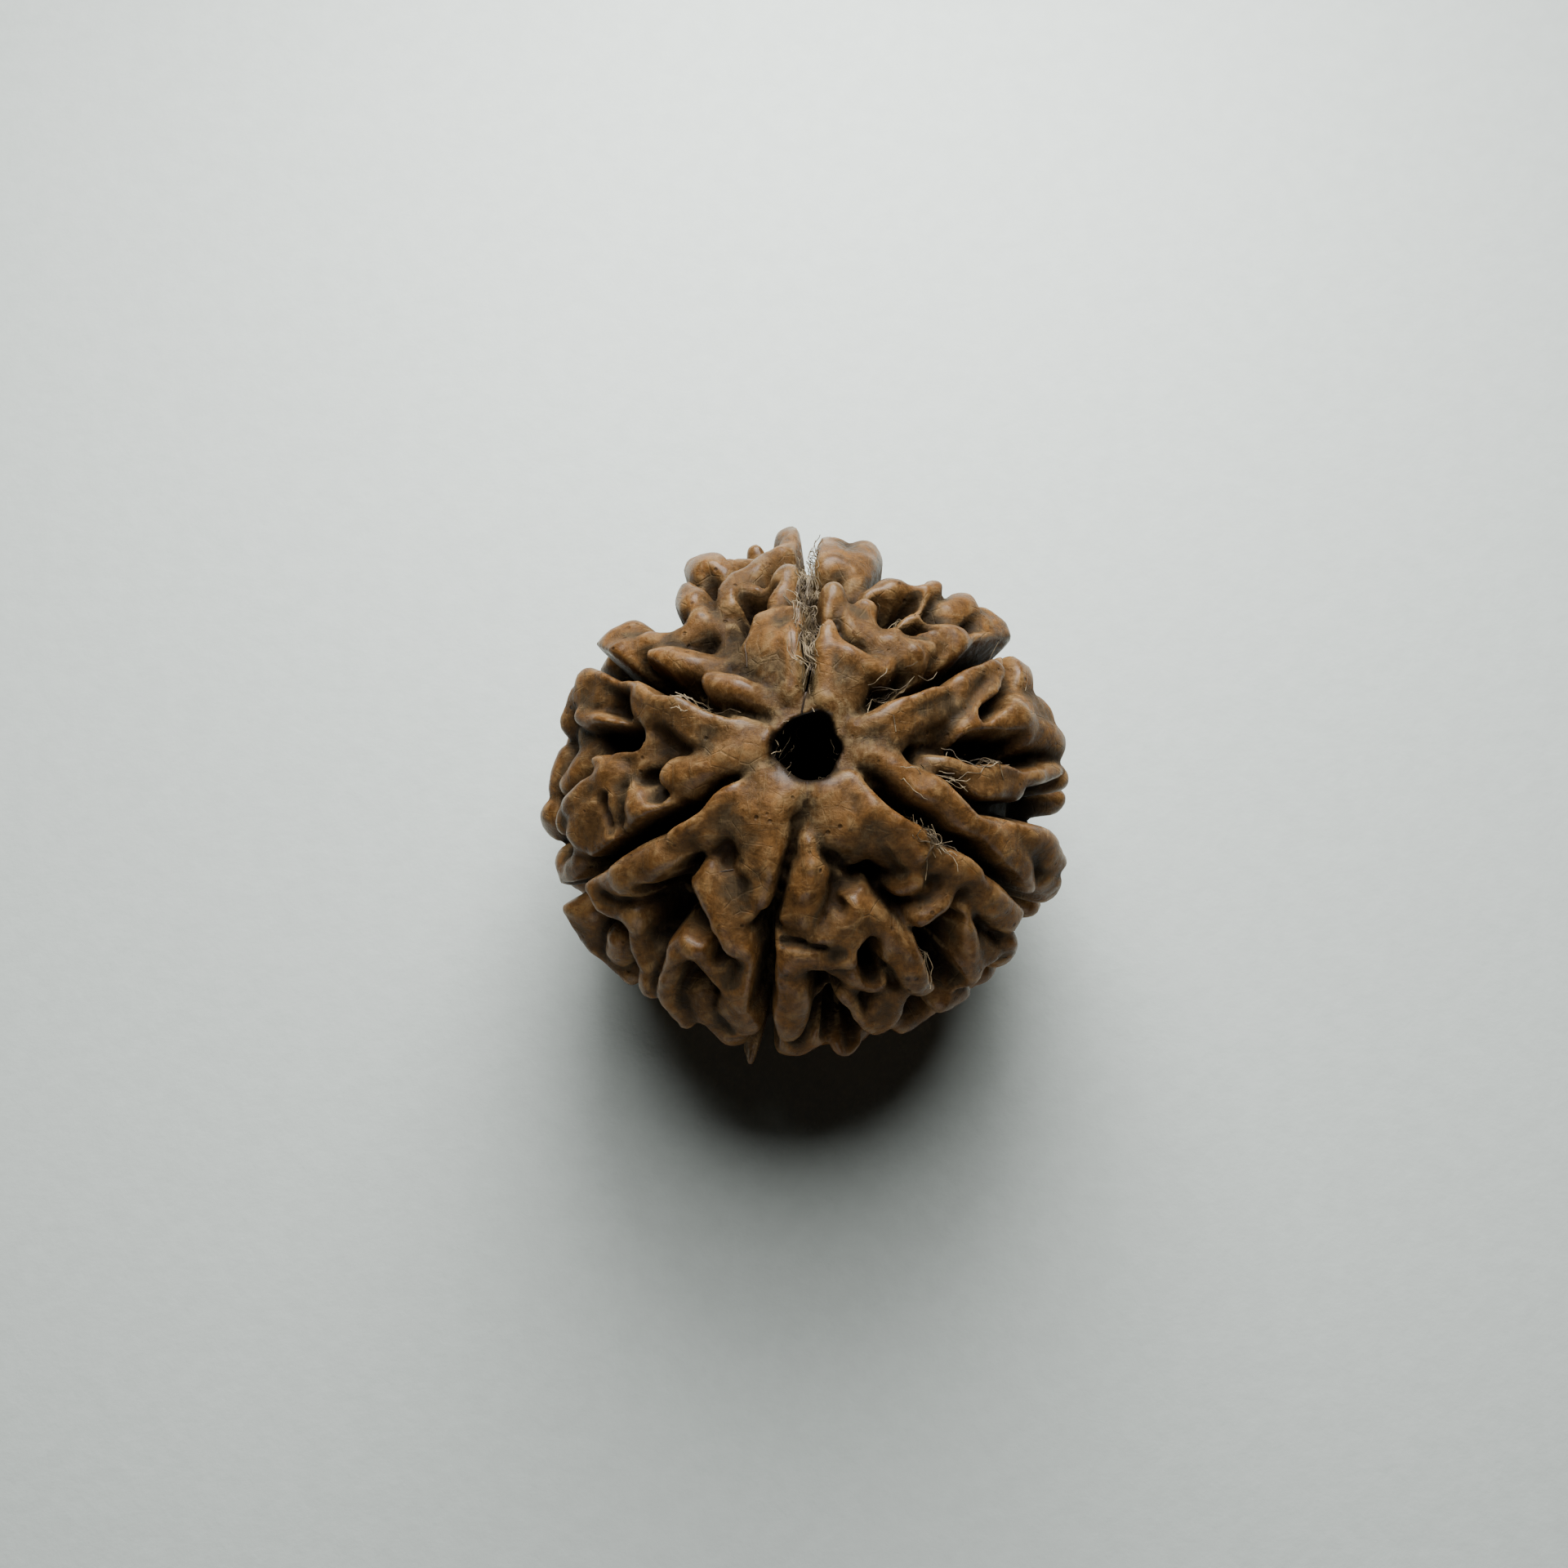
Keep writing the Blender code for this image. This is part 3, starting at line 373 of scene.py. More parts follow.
def waves(points, length, seed, count=24, spread=(0.75, 1.35)):
    # a smooth random field of unit strength: many plane waves of one length, in all directions
    draw = np.random.default_rng(seed)
    way = draw.normal(size=(count, 3))
    way /= np.linalg.norm(way, axis=1, keepdims=True)
    pitch = 2 * math.pi / (length * draw.uniform(*spread, count))
    start = draw.uniform(0, 2 * math.pi, count)
    return np.sin(points @ (way * pitch[:, None]).T + start).sum(1) / math.sqrt(count / 2)


def nearPath(unit, places, reach):
    closest = (unit @ places.T).max(1)
    return np.nonzero(closest > math.cos(math.radians(reach)))[0]


def alongPath(unit, places, values):
    # for each segment: sideways distance in mm, and the value where it is nearest
    if len(places) == 1:
        places = np.repeat(places, 2, axis=0)
        values = np.repeat(values, 2)
    for a, b, start, end in zip(places, places[1:], values, values[1:]):
        step = b - a
        t = np.clip((unit - a) @ step / max(step @ step, 1e-9), 0, 1)
        line = a + t[:, None] * step
        line /= np.linalg.norm(line, axis=1, keepdims=True)
        yield outerRadius(line) * np.linalg.norm(unit - line, axis=1), start + t * (end - start)


def ridgeHeight(side, halfWidth):
    # height against the crest in mm: a round top that runs on as straight sloping walls
    slope = stone["wallSlope"]
    turn = halfWidth * slope / math.hypot(1, slope)
    top = np.sqrt(np.maximum(halfWidth**2 - np.minimum(side, turn) ** 2, 0)) - halfWidth
    return top - slope * np.maximum(side - turn, 0)


def smaller(a, b, radius):
    # the lesser of two heights, rounded off where they cross
    h = np.clip(0.5 + 0.5 * (b - a) / radius, 0, 1)
    return b + (a - b) * h - radius * h * (1 - h)


def faceEdges(k):
    low = grooves[k][-1][0]
    high = grooves[(k + 1) % len(grooves)][-1][0]
    return low, high if high > low else high + 360


def lowerRidges():
    # the hidden half: each face takes the turned ridges of the face two further on
    chance = random.Random(stone["turnedSeed"])
    aside, tilt, deeper = stone["turnedSpread"]
    made = []
    for k, face in enumerate(faces):
        low, high = faceEdges(k)
        newLow, newHigh = faceEdges((k + 2) % len(faces))
        for halfWidth, *crest in face:
            if max(polar for _, polar, _ in crest) > stone["lowestMirroredPolar"]:
                continue
            turned = []
            for azimuth, polar, drop in crest:
                share = (high - azimuth) / (high - low)
                azimuth = newLow + share * (newHigh - newLow) + chance.uniform(-aside, aside)
                polar = 180 - polar + chance.uniform(-tilt, tilt)
                turned.append((azimuth, polar, drop + chance.uniform(0, deeper)))
            made.append((halfWidth, *turned))
    return made


def lowerPits():
    # each pit again, half a turn round and below
    made = []
    for halfWidth, depth, *spots in pits:
        made.append((halfWidth, depth, *[(azimuth + 180, 180 - polar) for azimuth, polar in spots]))
    return made


def cutSlot(unit, height, places, drops, halfWidth, slope):
    index = nearPath(unit, places, stone["slotReach"])
    for side, deep in alongPath(unit[index], places, drops):
        wall = slope * np.maximum(side - halfWidth, 0) - deep
        height[index] = smaller(height[index], wall, stone["cutFillet"])


def groovePath(groove):
    # places and drops of a groove from one end of the hole to the other
    end = groove[-1][0]
    below = [(end, 180 - polar, drop) for _, polar, drop in reversed(groove)]
    azimuth, polar, drop = np.array(groove + below, float).T
    return directions(azimuth, polar), drop


def surfaceHeight(unit):
    # height over the smooth outer form, in mm: nearly always below zero
    fromEnd = np.degrees(np.arccos(np.clip(np.abs(unit[:, 2]), 0, 1)))
    deeper = (stone["valleyDrop"] - stone["collarDrop"]) * smoothStep(*stone["collarPolars"], fromEnd)
    total = np.exp(-(stone["collarDrop"] + deeper) / stone["fillet"])
    for halfWidth, *crest in [ridge for face in faces for ridge in face] + lowerRidges():
        azimuth, polar, drop = np.array(crest).T
        places = directions(azimuth, polar)
        index = nearPath(unit, places, stone["ridgeReach"])
        best = np.full(len(index), stone["noRidge"])
        for side, depth in alongPath(unit[index], places, drop):
            best = np.maximum(best, ridgeHeight(side, halfWidth) - depth)
        total[index] += np.exp(best / stone["fillet"])
    height = stone["fillet"] * np.log(total)
    for groove in grooves:
        cutSlot(unit, height, *groovePath(groove), stone["grooveHalfWidth"], stone["grooveSlope"])
    for halfWidth, depth, *spots in pits + lowerPits() + smallPits:
        places = directions(*np.array(spots, float).T)
        cutSlot(unit, height, places, np.full(len(spots), depth), halfWidth, stone["pitSlope"])
    return height


def swayed(unit):
    # crests wander a little sideways, as grown ones do
    base = unit * stone["halfWidth"]
    shift = np.stack([waves(base, stone["swayLength"], seed) for seed in stone["swaySeeds"]], -1)
    moved = base + shift * stone["sway"]
    return moved / np.linalg.norm(moved, axis=1, keepdims=True)


def bareStone():
    bm = bmesh.new()
    bmesh.ops.create_icosphere(bm, subdivisions=stone["sphereSubdivisions"], radius=1)
    mesh = meshFrom(bm, "stoneForm")
    unit = vertexValues(mesh).astype(float)
    unit /= np.linalg.norm(unit, axis=1, keepdims=True)
    radius = outerRadius(unit) + surfaceHeight(swayed(unit))
    points = unit * radius[:, None]
    for length, strength, seed in stone["lumps"]:
        radius += strength * waves(points, length, seed)
    points = unit * radius[:, None]
    points[:, 2] += stone["restHeight"]
    mesh.vertices.foreach_set("co", (points * mm).ravel())
    mesh.update()
    return mesh


def holeCutter():
    bm = bmesh.new()
    bmesh.ops.create_grid(bm, x_segments=stone["holeSides"], y_segments=stone["holeRings"], size=1)
    for vertex in bm.verts:
        turn = vertex.co.x * math.pi
        height = vertex.co.y * stone["halfHeight"] * stone["holeOverrun"]
        mouth = (height / stone["halfHeight"]) ** 2
        radius = stone["throatRadius"] + (stone["mouthRadius"] - stone["throatRadius"]) * mouth
        radius *= 1 + stone["mouthWave"] * math.cos(len(grooves) * turn)
        wall = np.array([[math.cos(turn), math.sin(turn), height / stone["mouthStretch"]]])
        rough = waves(wall, stone["mouthRoughLength"], stone["mouthSeed"])[0]
        radius += stone["mouthRough"] * float(rough)
        vertex.co = (radius * math.cos(turn), radius * math.sin(turn), height)
    bmesh.ops.remove_doubles(bm, verts=bm.verts, dist=1e-4)
    bmesh.ops.holes_fill(bm, edges=bm.edges)
    bmesh.ops.recalc_face_normals(bm, faces=bm.faces)
    bmesh.ops.scale(bm, verts=bm.verts, vec=(mm, mm, mm))
    bmesh.ops.translate(bm, verts=bm.verts, vec=beadMiddle)
    return addObject("holeCutter", meshFrom(bm, "holeCutter"))


def restCutter():
    bm = bmesh.new()
    side = 3 * stone["halfWidth"] * mm
    bmesh.ops.create_cube(bm, size=side)
    bmesh.ops.translate(bm, verts=bm.verts, vec=(0, 0, -side / 2))
    return addObject("restCutter", meshFrom(bm, "restCutter"))


def evaluatedMesh(obj):
    graph = bpy.context.evaluated_depsgraph_get()
    return bpy.data.meshes.new_from_object(obj.evaluated_get(graph))


def fineStone():
    form = addObject("stoneForm", bareStone())
    hole = holeCutter()
    rest = restCutter()
    addModifier(form, "hole", "BOOLEAN", operation="DIFFERENCE", solver="MANIFOLD", object=hole)
    addModifier(form, "even", "REMESH", mode="VOXEL", voxel_size=stone["voxel"] * mm)
    addModifier(form, "soft", "SMOOTH", factor=0.5, iterations=stone["softening"])
    addModifier(form, "rest", "BOOLEAN", operation="DIFFERENCE", solver="MANIFOLD", object=rest)
    dense = evaluatedMesh(form)
    dense.calc_loop_triangles()
    count = len(dense.loop_triangles)
    print("stone before thinning:", count, "triangles")
    addModifier(form, "thin", "DECIMATE", ratio=min(1, stone["triangles"] / count))
    mesh = evaluatedMesh(form)
    for obj in (form, hole, rest):
        bpy.data.objects.remove(obj)
    bpy.data.meshes.remove(dense)
    return mesh


def neighbourMean(mesh, values, rounds):
    # the values averaged over neighbours, again and again
    edges = np.empty(len(mesh.edges) * 2, np.int32)
    mesh.edges.foreach_get("vertices", edges)
    a, b = edges.reshape(-1, 2).T
    count = np.bincount(np.concatenate((a, b)), minlength=len(mesh.vertices))[:, None]
    for _ in range(rounds):
        total = np.zeros_like(values)
        for axis in range(values.shape[1]):
            total[:, axis] = np.bincount(a, values[b, axis], len(values))
            total[:, axis] += np.bincount(b, values[a, axis], len(values))
        values = 0.5 * values + 0.5 * total / np.maximum(count, 1)
    return values


def writeAttribute(mesh, name, values):
    layer = mesh.attributes.new(name, "FLOAT", "POINT")
    layer.data.foreach_set("value", values.astype(np.float32))


def fitBox(mesh):
    # the fine stone is centred in the solid's own box and made no larger than it
    co = vertexValues(mesh)
    low, high = np.array(cadBox[0]), np.array(cadBox[1])
    mine = co.min(0), co.max(0)
    for axis in range(2):
        scale = (high[axis] - low[axis]) / (mine[1][axis] - mine[0][axis])
        middle = (high[axis] + low[axis]) / 2
        co[:, axis] = middle + (co[:, axis] - (mine[0][axis] + mine[1][axis]) / 2) * min(scale, 1)
    co[:, 2] = co[:, 2] * min(1, high[2] / mine[1][2])
    mesh.vertices.foreach_set("co", co.ravel())
    mesh.update()


# how the form becomes the shares that the finish and the fibres follow; lengths are in mm
shares = {
    "deepest": 3.5,            # below the outer form, where depth is 1
    "edgeRounds": 4,           # rounds of averaging that a sharp bend stands out from
    "edgeGain": 14,
    "bulgeRounds": 40,         # and a broad bulge
    "bulgeGain": 2.2,
    "grooveSide": (0.2, 1.1),  # from a groove's middle, where its share falls from 1 to 0
    "noGroove": 9.0,           # further from a groove than the finish looks
    "boreSide": (1.45, 1.75),  # from the axis, where the hole's share falls from 1 to 0
    "boreFacing": (0.0, 0.6),  # how squarely the hole's wall faces the axis
    "boreFibres": 3.5,         # fibres stand in the hole above this height over the middle
}


def tuftShare(points, unit, bore):
    # how thick the fibres stand: full along each tuft's path, and a few high in the hole
    share = np.zeros(len(points))
    for reach, most, *spots in tufts:
        azimuth, polar = np.array(spots, float).T
        for side, _ in alongPath(unit, directions(azimuth, polar), np.zeros(len(spots))):
            share = np.maximum(share, most * (1 - smoothStep(0.5 * reach, reach, side)))
    return np.where((bore > 0.5) & (points[:, 2] > shares["boreFibres"]), boreTuft, share)


def measureStone(mesh):
    # what the finish follows: how high, how sharply bent, how near a groove, a tuft or the hole
    points = vertexValues(mesh).astype(float) / mm
    points[:, 2] -= stone["restHeight"]
    length = np.linalg.norm(points, axis=1)
    unit = points / length[:, None]
    normals = vertexValues(mesh, "normal")
    height = length - outerRadius(unit)
    small = ((points - neighbourMean(mesh, points, shares["edgeRounds"])) * normals).sum(1)
    wide = ((points - neighbourMean(mesh, points, shares["bulgeRounds"])) * normals).sum(1)
    across = np.full(len(points), shares["noGroove"])
    for groove in grooves:
        for side, _ in alongPath(unit, *groovePath(groove)):
            across = np.minimum(across, side)
    fromAxis = np.hypot(points[:, 0], points[:, 1])
    facingAxis = -(points[:, :2] * normals[:, :2]).sum(1) / fromAxis
    bore = (1 - smoothStep(*shares["boreSide"], fromAxis)) * smoothStep(*shares["boreFacing"], facingAxis)
    writeAttribute(mesh, "depth", np.clip(-height / shares["deepest"], 0, 1))
    writeAttribute(mesh, "edge", np.clip(0.5 + small * shares["edgeGain"], 0, 1))
    writeAttribute(mesh, "bulge", np.clip(0.5 + wide * shares["bulgeGain"], 0, 1))
    writeAttribute(mesh, "groove", 1 - smoothStep(*shares["grooveSide"], across))
    writeAttribute(mesh, "polar", np.degrees(np.arccos(np.clip(np.abs(unit[:, 2]), 0, 1))) / 90)
    writeAttribute(mesh, "bore", bore)
    writeAttribute(mesh, "tuft", tuftShare(points, unit, bore))
    print("stone is measured for its finish")


class wire:
    # one socket, with its maths written as Python operators
    def __init__(self, tree, socket):
        self.tree, self.socket = tree, socket

    def maths(self, operation, first, second):
        step = self.tree.nodes.new("ShaderNodeMath")
        step.operation = operation
        for slot, value in zip(step.inputs, (first, second)):
            plug(self.tree, slot, value)
        return wire(self.tree, step.outputs[0])

    def __add__(self, other):
        return self.maths("ADD", self, other)

    def __radd__(self, other):
        return self.maths("ADD", other, self)

    def __sub__(self, other):
        return self.maths("SUBTRACT", self, other)

    def __rsub__(self, other):
        return self.maths("SUBTRACT", other, self)

    def __mul__(self, other):
        return self.maths("MULTIPLY", self, other)

    def __rmul__(self, other):
        return self.maths("MULTIPLY", other, self)


def plug(tree, slot, value):
    if isinstance(value, wire):
        tree.links.new(value.socket, slot)
    elif isinstance(value, tuple) and len(value) == 3 and slot.type == "RGBA":
        slot.default_value = (*value, 1)
    else:
        slot.default_value = value


class finishMaker:
    # one material, built from its nodes
    def __init__(self, name):
        self.material = bpy.data.materials.new(name)
        self.material.use_nodes = True
        self.tree = self.material.node_tree
        self.shader = self.tree.nodes["Principled BSDF"]
        self.place = self.node("ShaderNodeTexCoord", output="Object")

    def node(self, kind, settings=(), inputs=(), output=0):
        made = self.tree.nodes.new(kind)
        for name, value in dict(settings).items():
            setattr(made, name, value)
        for name, value in dict(inputs).items():
            plug(self.tree, made.inputs[name], value)
        return wire(self.tree, made.outputs[output])

    def noise(self, scale, detail=3, roughness=0.55, distortion=0, vector=None):
        return self.node("ShaderNodeTexNoise", {}, {
            "Vector": vector or self.place, "Scale": scale, "Detail": detail,
            "Roughness": roughness, "Distortion": distortion,
        })

    def cells(self, scale, feature, vector=None):
        return self.node("ShaderNodeTexVoronoi", {"feature": feature}, {
            "Vector": vector or self.place, "Scale": scale,
        }, output="Distance")

    def stretched(self, scale, turn):
        return self.node("ShaderNodeMapping", {}, {
            "Vector": self.place, "Rotation": turn, "Scale": scale,
        })

    def ramp(self, value, low, high, start=0.0, end=1.0):
        return self.node("ShaderNodeMapRange", {"interpolation_type": "SMOOTHSTEP"}, {
            "Value": value, "From Min": low, "From Max": high, "To Min": start, "To Max": end,
        })

    def attribute(self, name):
        return self.node("ShaderNodeAttribute", {"attribute_name": name}, {}, output="Fac")

    def blend(self, share, first, second, mode="MIX"):
        made = self.tree.nodes.new("ShaderNodeMix")
        made.data_type = "RGBA"
        made.blend_type = mode
        a, b = [slot for slot in made.inputs if slot.type == "RGBA"]
        plug(self.tree, made.inputs["Factor"], share)
        plug(self.tree, a, first)
        plug(self.tree, b, second)
        return wire(self.tree, [slot for slot in made.outputs if slot.type == "RGBA"][0])

    def grey(self, value):
        parts = {name: value for name in ("Red", "Green", "Blue")}
        return self.node("ShaderNodeCombineColor", {}, parts)

    def bump(self, height, strength, distance):
        return self.node("ShaderNodeBump", {}, {
            "Height": height, "Strength": strength, "Distance": distance,
        })

    def set(self, values):
        for name, value in values.items():
            plug(self.tree, self.shader.inputs[name], value)


stoneFinish = {
    "body": (0.066, 0.035, 0.013),
    # the crests' own warm tone, also used as painted light on them
    "warm": (0.118, 0.0545, 0.0155),
    "taupe": (0.044, 0.029, 0.0145),
    "dust": (0.092, 0.062, 0.029),
    # dark umber: painted shade in the deep hollows, also the colour of the small pores
    "umber": (0.0085, 0.0045, 0.0021),
    "straw": (0.105, 0.076, 0.034),
    "rim": (0.150, 0.100, 0.046),
    # near black: painted shade inside the hole
    "holeShade": (0.0015, 0.0011, 0.0008),
    "satin": 0.34,            # roughness of rubbed crests
    "dull": 0.70,             # and of dusty hollows
    "bending": 1.16,          # index of refraction: a waxy skin with little glare at its edges
    "reliefHeight": 0.00013,  # in metres
    "polish": 0.5,            # the most of the clear coat that handling gives the tops
    "polishRoughness": 0.26,
    "polishBending": 1.4,
    "polishTint": (1.0, 0.86, 0.64),
}


def stoneColour(finish):
    # brown stone: warmer where its crests are rubbed, with painted light on those crests too; taupe on its
    # flanks, dusty near the hole, and painted shade in the deep hollows
    look = stoneFinish
    depth, edge, bulge = [finish.attribute(name) for name in ("depth", "edge", "bulge")]
    groove, polar, tuft = [finish.attribute(name) for name in ("groove", "polar", "tuft")]
    broad = finish.noise(330, 3)
    patch = finish.noise(900, 6, 0.68, 0.8)
    grain = finish.noise(3600, 5, 0.70)
    blotch = finish.ramp(patch * 0.75 + broad * 0.25, 0.44, 0.56)
    colour = finish.blend(blotch, look["body"], look["taupe"])
    crestTop = finish.ramp(bulge, 0.50, 0.76) * finish.ramp(depth, 0.50, 0.12)
    # broad crests made warmer and lighter: partly their rubbed skin, partly painted light on the tops
    warmthAndLight = crestTop * finish.ramp(broad * 0.4 + patch * 0.6, 0.42, 0.56, 0.30, 1)
    colour = finish.blend(warmthAndLight * 0.95, colour, look["warm"])
    nearEnd = finish.ramp(polar, 0.46, 0.18)
    dusty = finish.ramp(patch * 0.55 + grain * 0.45, 0.45, 0.57)
    shallow = finish.ramp(depth, 0.10, 0.30)
    colour = finish.blend(nearEnd * dusty * shallow * 0.85, colour, look["dust"])
    # painted shade: the deep hollows are darkened to umber, as shade would darken them
    low = finish.ramp(depth, 0.28, 0.62)
    colour = finish.blend(low * 0.90, colour, look["umber"])
    colour = finish.blend(low * dusty * finish.ramp(bulge, 0.5, 0.3) * 0.35, colour, look["dust"])
    colour = finish.blend(groove * low * finish.ramp(grain, 0.42, 0.60) * 0.35, colour, look["straw"])
    matted = finish.ramp(patch * 0.5 + grain * 0.5, 0.40, 0.58)
    colour = finish.blend(tuft * matted * 0.6, colour, look["straw"])
    rims = finish.ramp(edge, 0.62, 0.86) * finish.ramp(patch, 0.44, 0.56)
    return finish.blend(rims * 0.5, colour, look["rim"]), low, crestTop, patch, grain


def stoneMarks(finish, patch):
    # fine pale veins, hair scratches in two directions, and small pores
    lay = finish.stretched((1, 1, 0.4), (0.4, 0.2, 0.9))
    veins = finish.ramp(finish.cells(1100, "DISTANCE_TO_EDGE", lay), 0.045, 0.0)
    veins = veins * finish.ramp(patch, 0.47, 0.58)
    oneWay = finish.noise(1, 4, 0.6, 1.8, finish.stretched((4600, 420, 900), (0.3, 0.5, 1.1)))
    otherWay = finish.noise(1, 4, 0.6, 1.8, finish.stretched((460, 4200, 800), (0.8, 0.2, 0.4)))
    hairs = finish.ramp(oneWay, 0.58, 0.68) + finish.ramp(otherWay, 0.60, 0.70)
    pores = finish.ramp(finish.cells(1700, "F1"), 0.20, 0.07)
    pores = pores * finish.ramp(finish.noise(600, 2), 0.50, 0.62)
    return veins, hairs, pores


def stoneMaterial():
    finish = finishMaker("driedStone")
    look = stoneFinish
    colour, low, crestTop, patch, grain = stoneColour(finish)
    veins, hairs, pores = stoneMarks(finish, patch)
    high = 1 - low
    colour = finish.blend(veins * high * 0.35, colour, look["dust"])
    colour = finish.blend(hairs * high * 0.26, colour, look["rim"])
    colour = finish.blend(pores * 0.60, colour, look["umber"])
    # random mottling of the tone, then painted shade that darkens the concave places
    shade = finish.ramp(grain * 0.6 + patch * 0.4, 0.34, 0.66, 0.62, 1.38)
    shade = shade * finish.ramp(finish.attribute("bulge"), 0.28, 0.52, 0.40, 1.0)
    colour = finish.blend(1.0, colour, finish.grey(shade), "MULTIPLY")
    # painted shade: the wall of the hole is made near black
    colour = finish.blend(finish.attribute("bore") * 0.94, colour, look["holeShade"])
    rough = finish.ramp(patch * 0.5 + grain * 0.5, 0.38, 0.62, look["satin"], look["dull"])
    rough = rough - crestTop * 0.08 + low * 0.2 + veins * 0.1
    relief = grain * 0.45 + patch * 1.1 - pores * 0.80 - veins * 0.25 + hairs * 0.12
    finish.set({
        "Base Color": colour,
        "Roughness": rough,
        "Normal": finish.bump(relief, 0.7, look["reliefHeight"]),
        "IOR": look["bending"],
        "Coat Weight": finish.ramp(finish.attribute("bulge"), 0.74, 0.96) * look["polish"],
        "Coat Roughness": look["polishRoughness"],
        "Coat IOR": look["polishBending"],
        "Coat Tint": look["polishTint"],
    })
    return finish.material


def showPiece(name, mesh, material):
    # a mesh becomes a shown piece that rides with the bead; no tip passes the solid's box
    co = np.clip(vertexValues(mesh), cadBox[0], cadBox[1])
    mesh.vertices.foreach_set("co", co.astype(np.float32).ravel())
    mesh.update()
    mesh.name = name
    mesh.materials.clear()
    mesh.materials.append(material)
    piece = addObject(name, mesh)
    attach(piece, "root")
    mesh.calc_loop_triangles()
    print(name, len(mesh.loop_triangles), "triangles")
    return piece


def makeBead():
    mesh = fineStone()
    fitBox(mesh)
    measureStone(mesh)
    mesh.shade_smooth()
    bead = showPiece("bead_stone", mesh, stoneMaterial())
    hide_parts("bead")
    return bead


# pulp fibres left in the grooves and pits: each tuft's reach in mm, how thick it stands,
# then azimuth and polar angle along it
tufts = [
    (0.55, 0.9, (90, 17), (90, 40), (90, 66)),
    (0.8, 0.06, (92, 14), (84, 15)),
    (0.6, 0.6, (323, 38), (323, 41)),
    (0.8, 0.12, (40, 24), (36, 36)),
    (0.6, 0.12, (158, 28), (154, 38)),
    (0.6, 0.15, (0, 50), (4, 56)),
    (0.5, 0.25, (62, 47), (58, 51)),
    (0.8, 0.25, (308, 60), (304, 66)),
    (1.3, 0.04, (354, 26), (350, 40)),
]

boreTuft = 0.03               # how thick the fibres stand in the hole

fibreSettings = {
    "Density": 24e6,          # fibres a square metre where the share is 1
    "Seed": 7,
    "Shortest": 0.0004,
    "Longest": 0.0022,
    "Radius": 0.000020,
    "Curl": 0.0015,
    "Lift": 0.00016,
}

fibreShape = {
    "turn": (0.4, 0.3, 0.5),  # the most that a fibre turns out of line, in radians
    "points": 12,
    "wander": 900.0,          # how often a metre the curls change
    "sides": 3,
}

fibreFinish = {
    "pale": (0.22, 0.165, 0.090),
    "brown": (0.070, 0.047, 0.022),
    "darkPale": (0.055, 0.032, 0.016),
    "darkBrown": (0.020, 0.012, 0.007),
    "darkRoughness": 0.6,
}


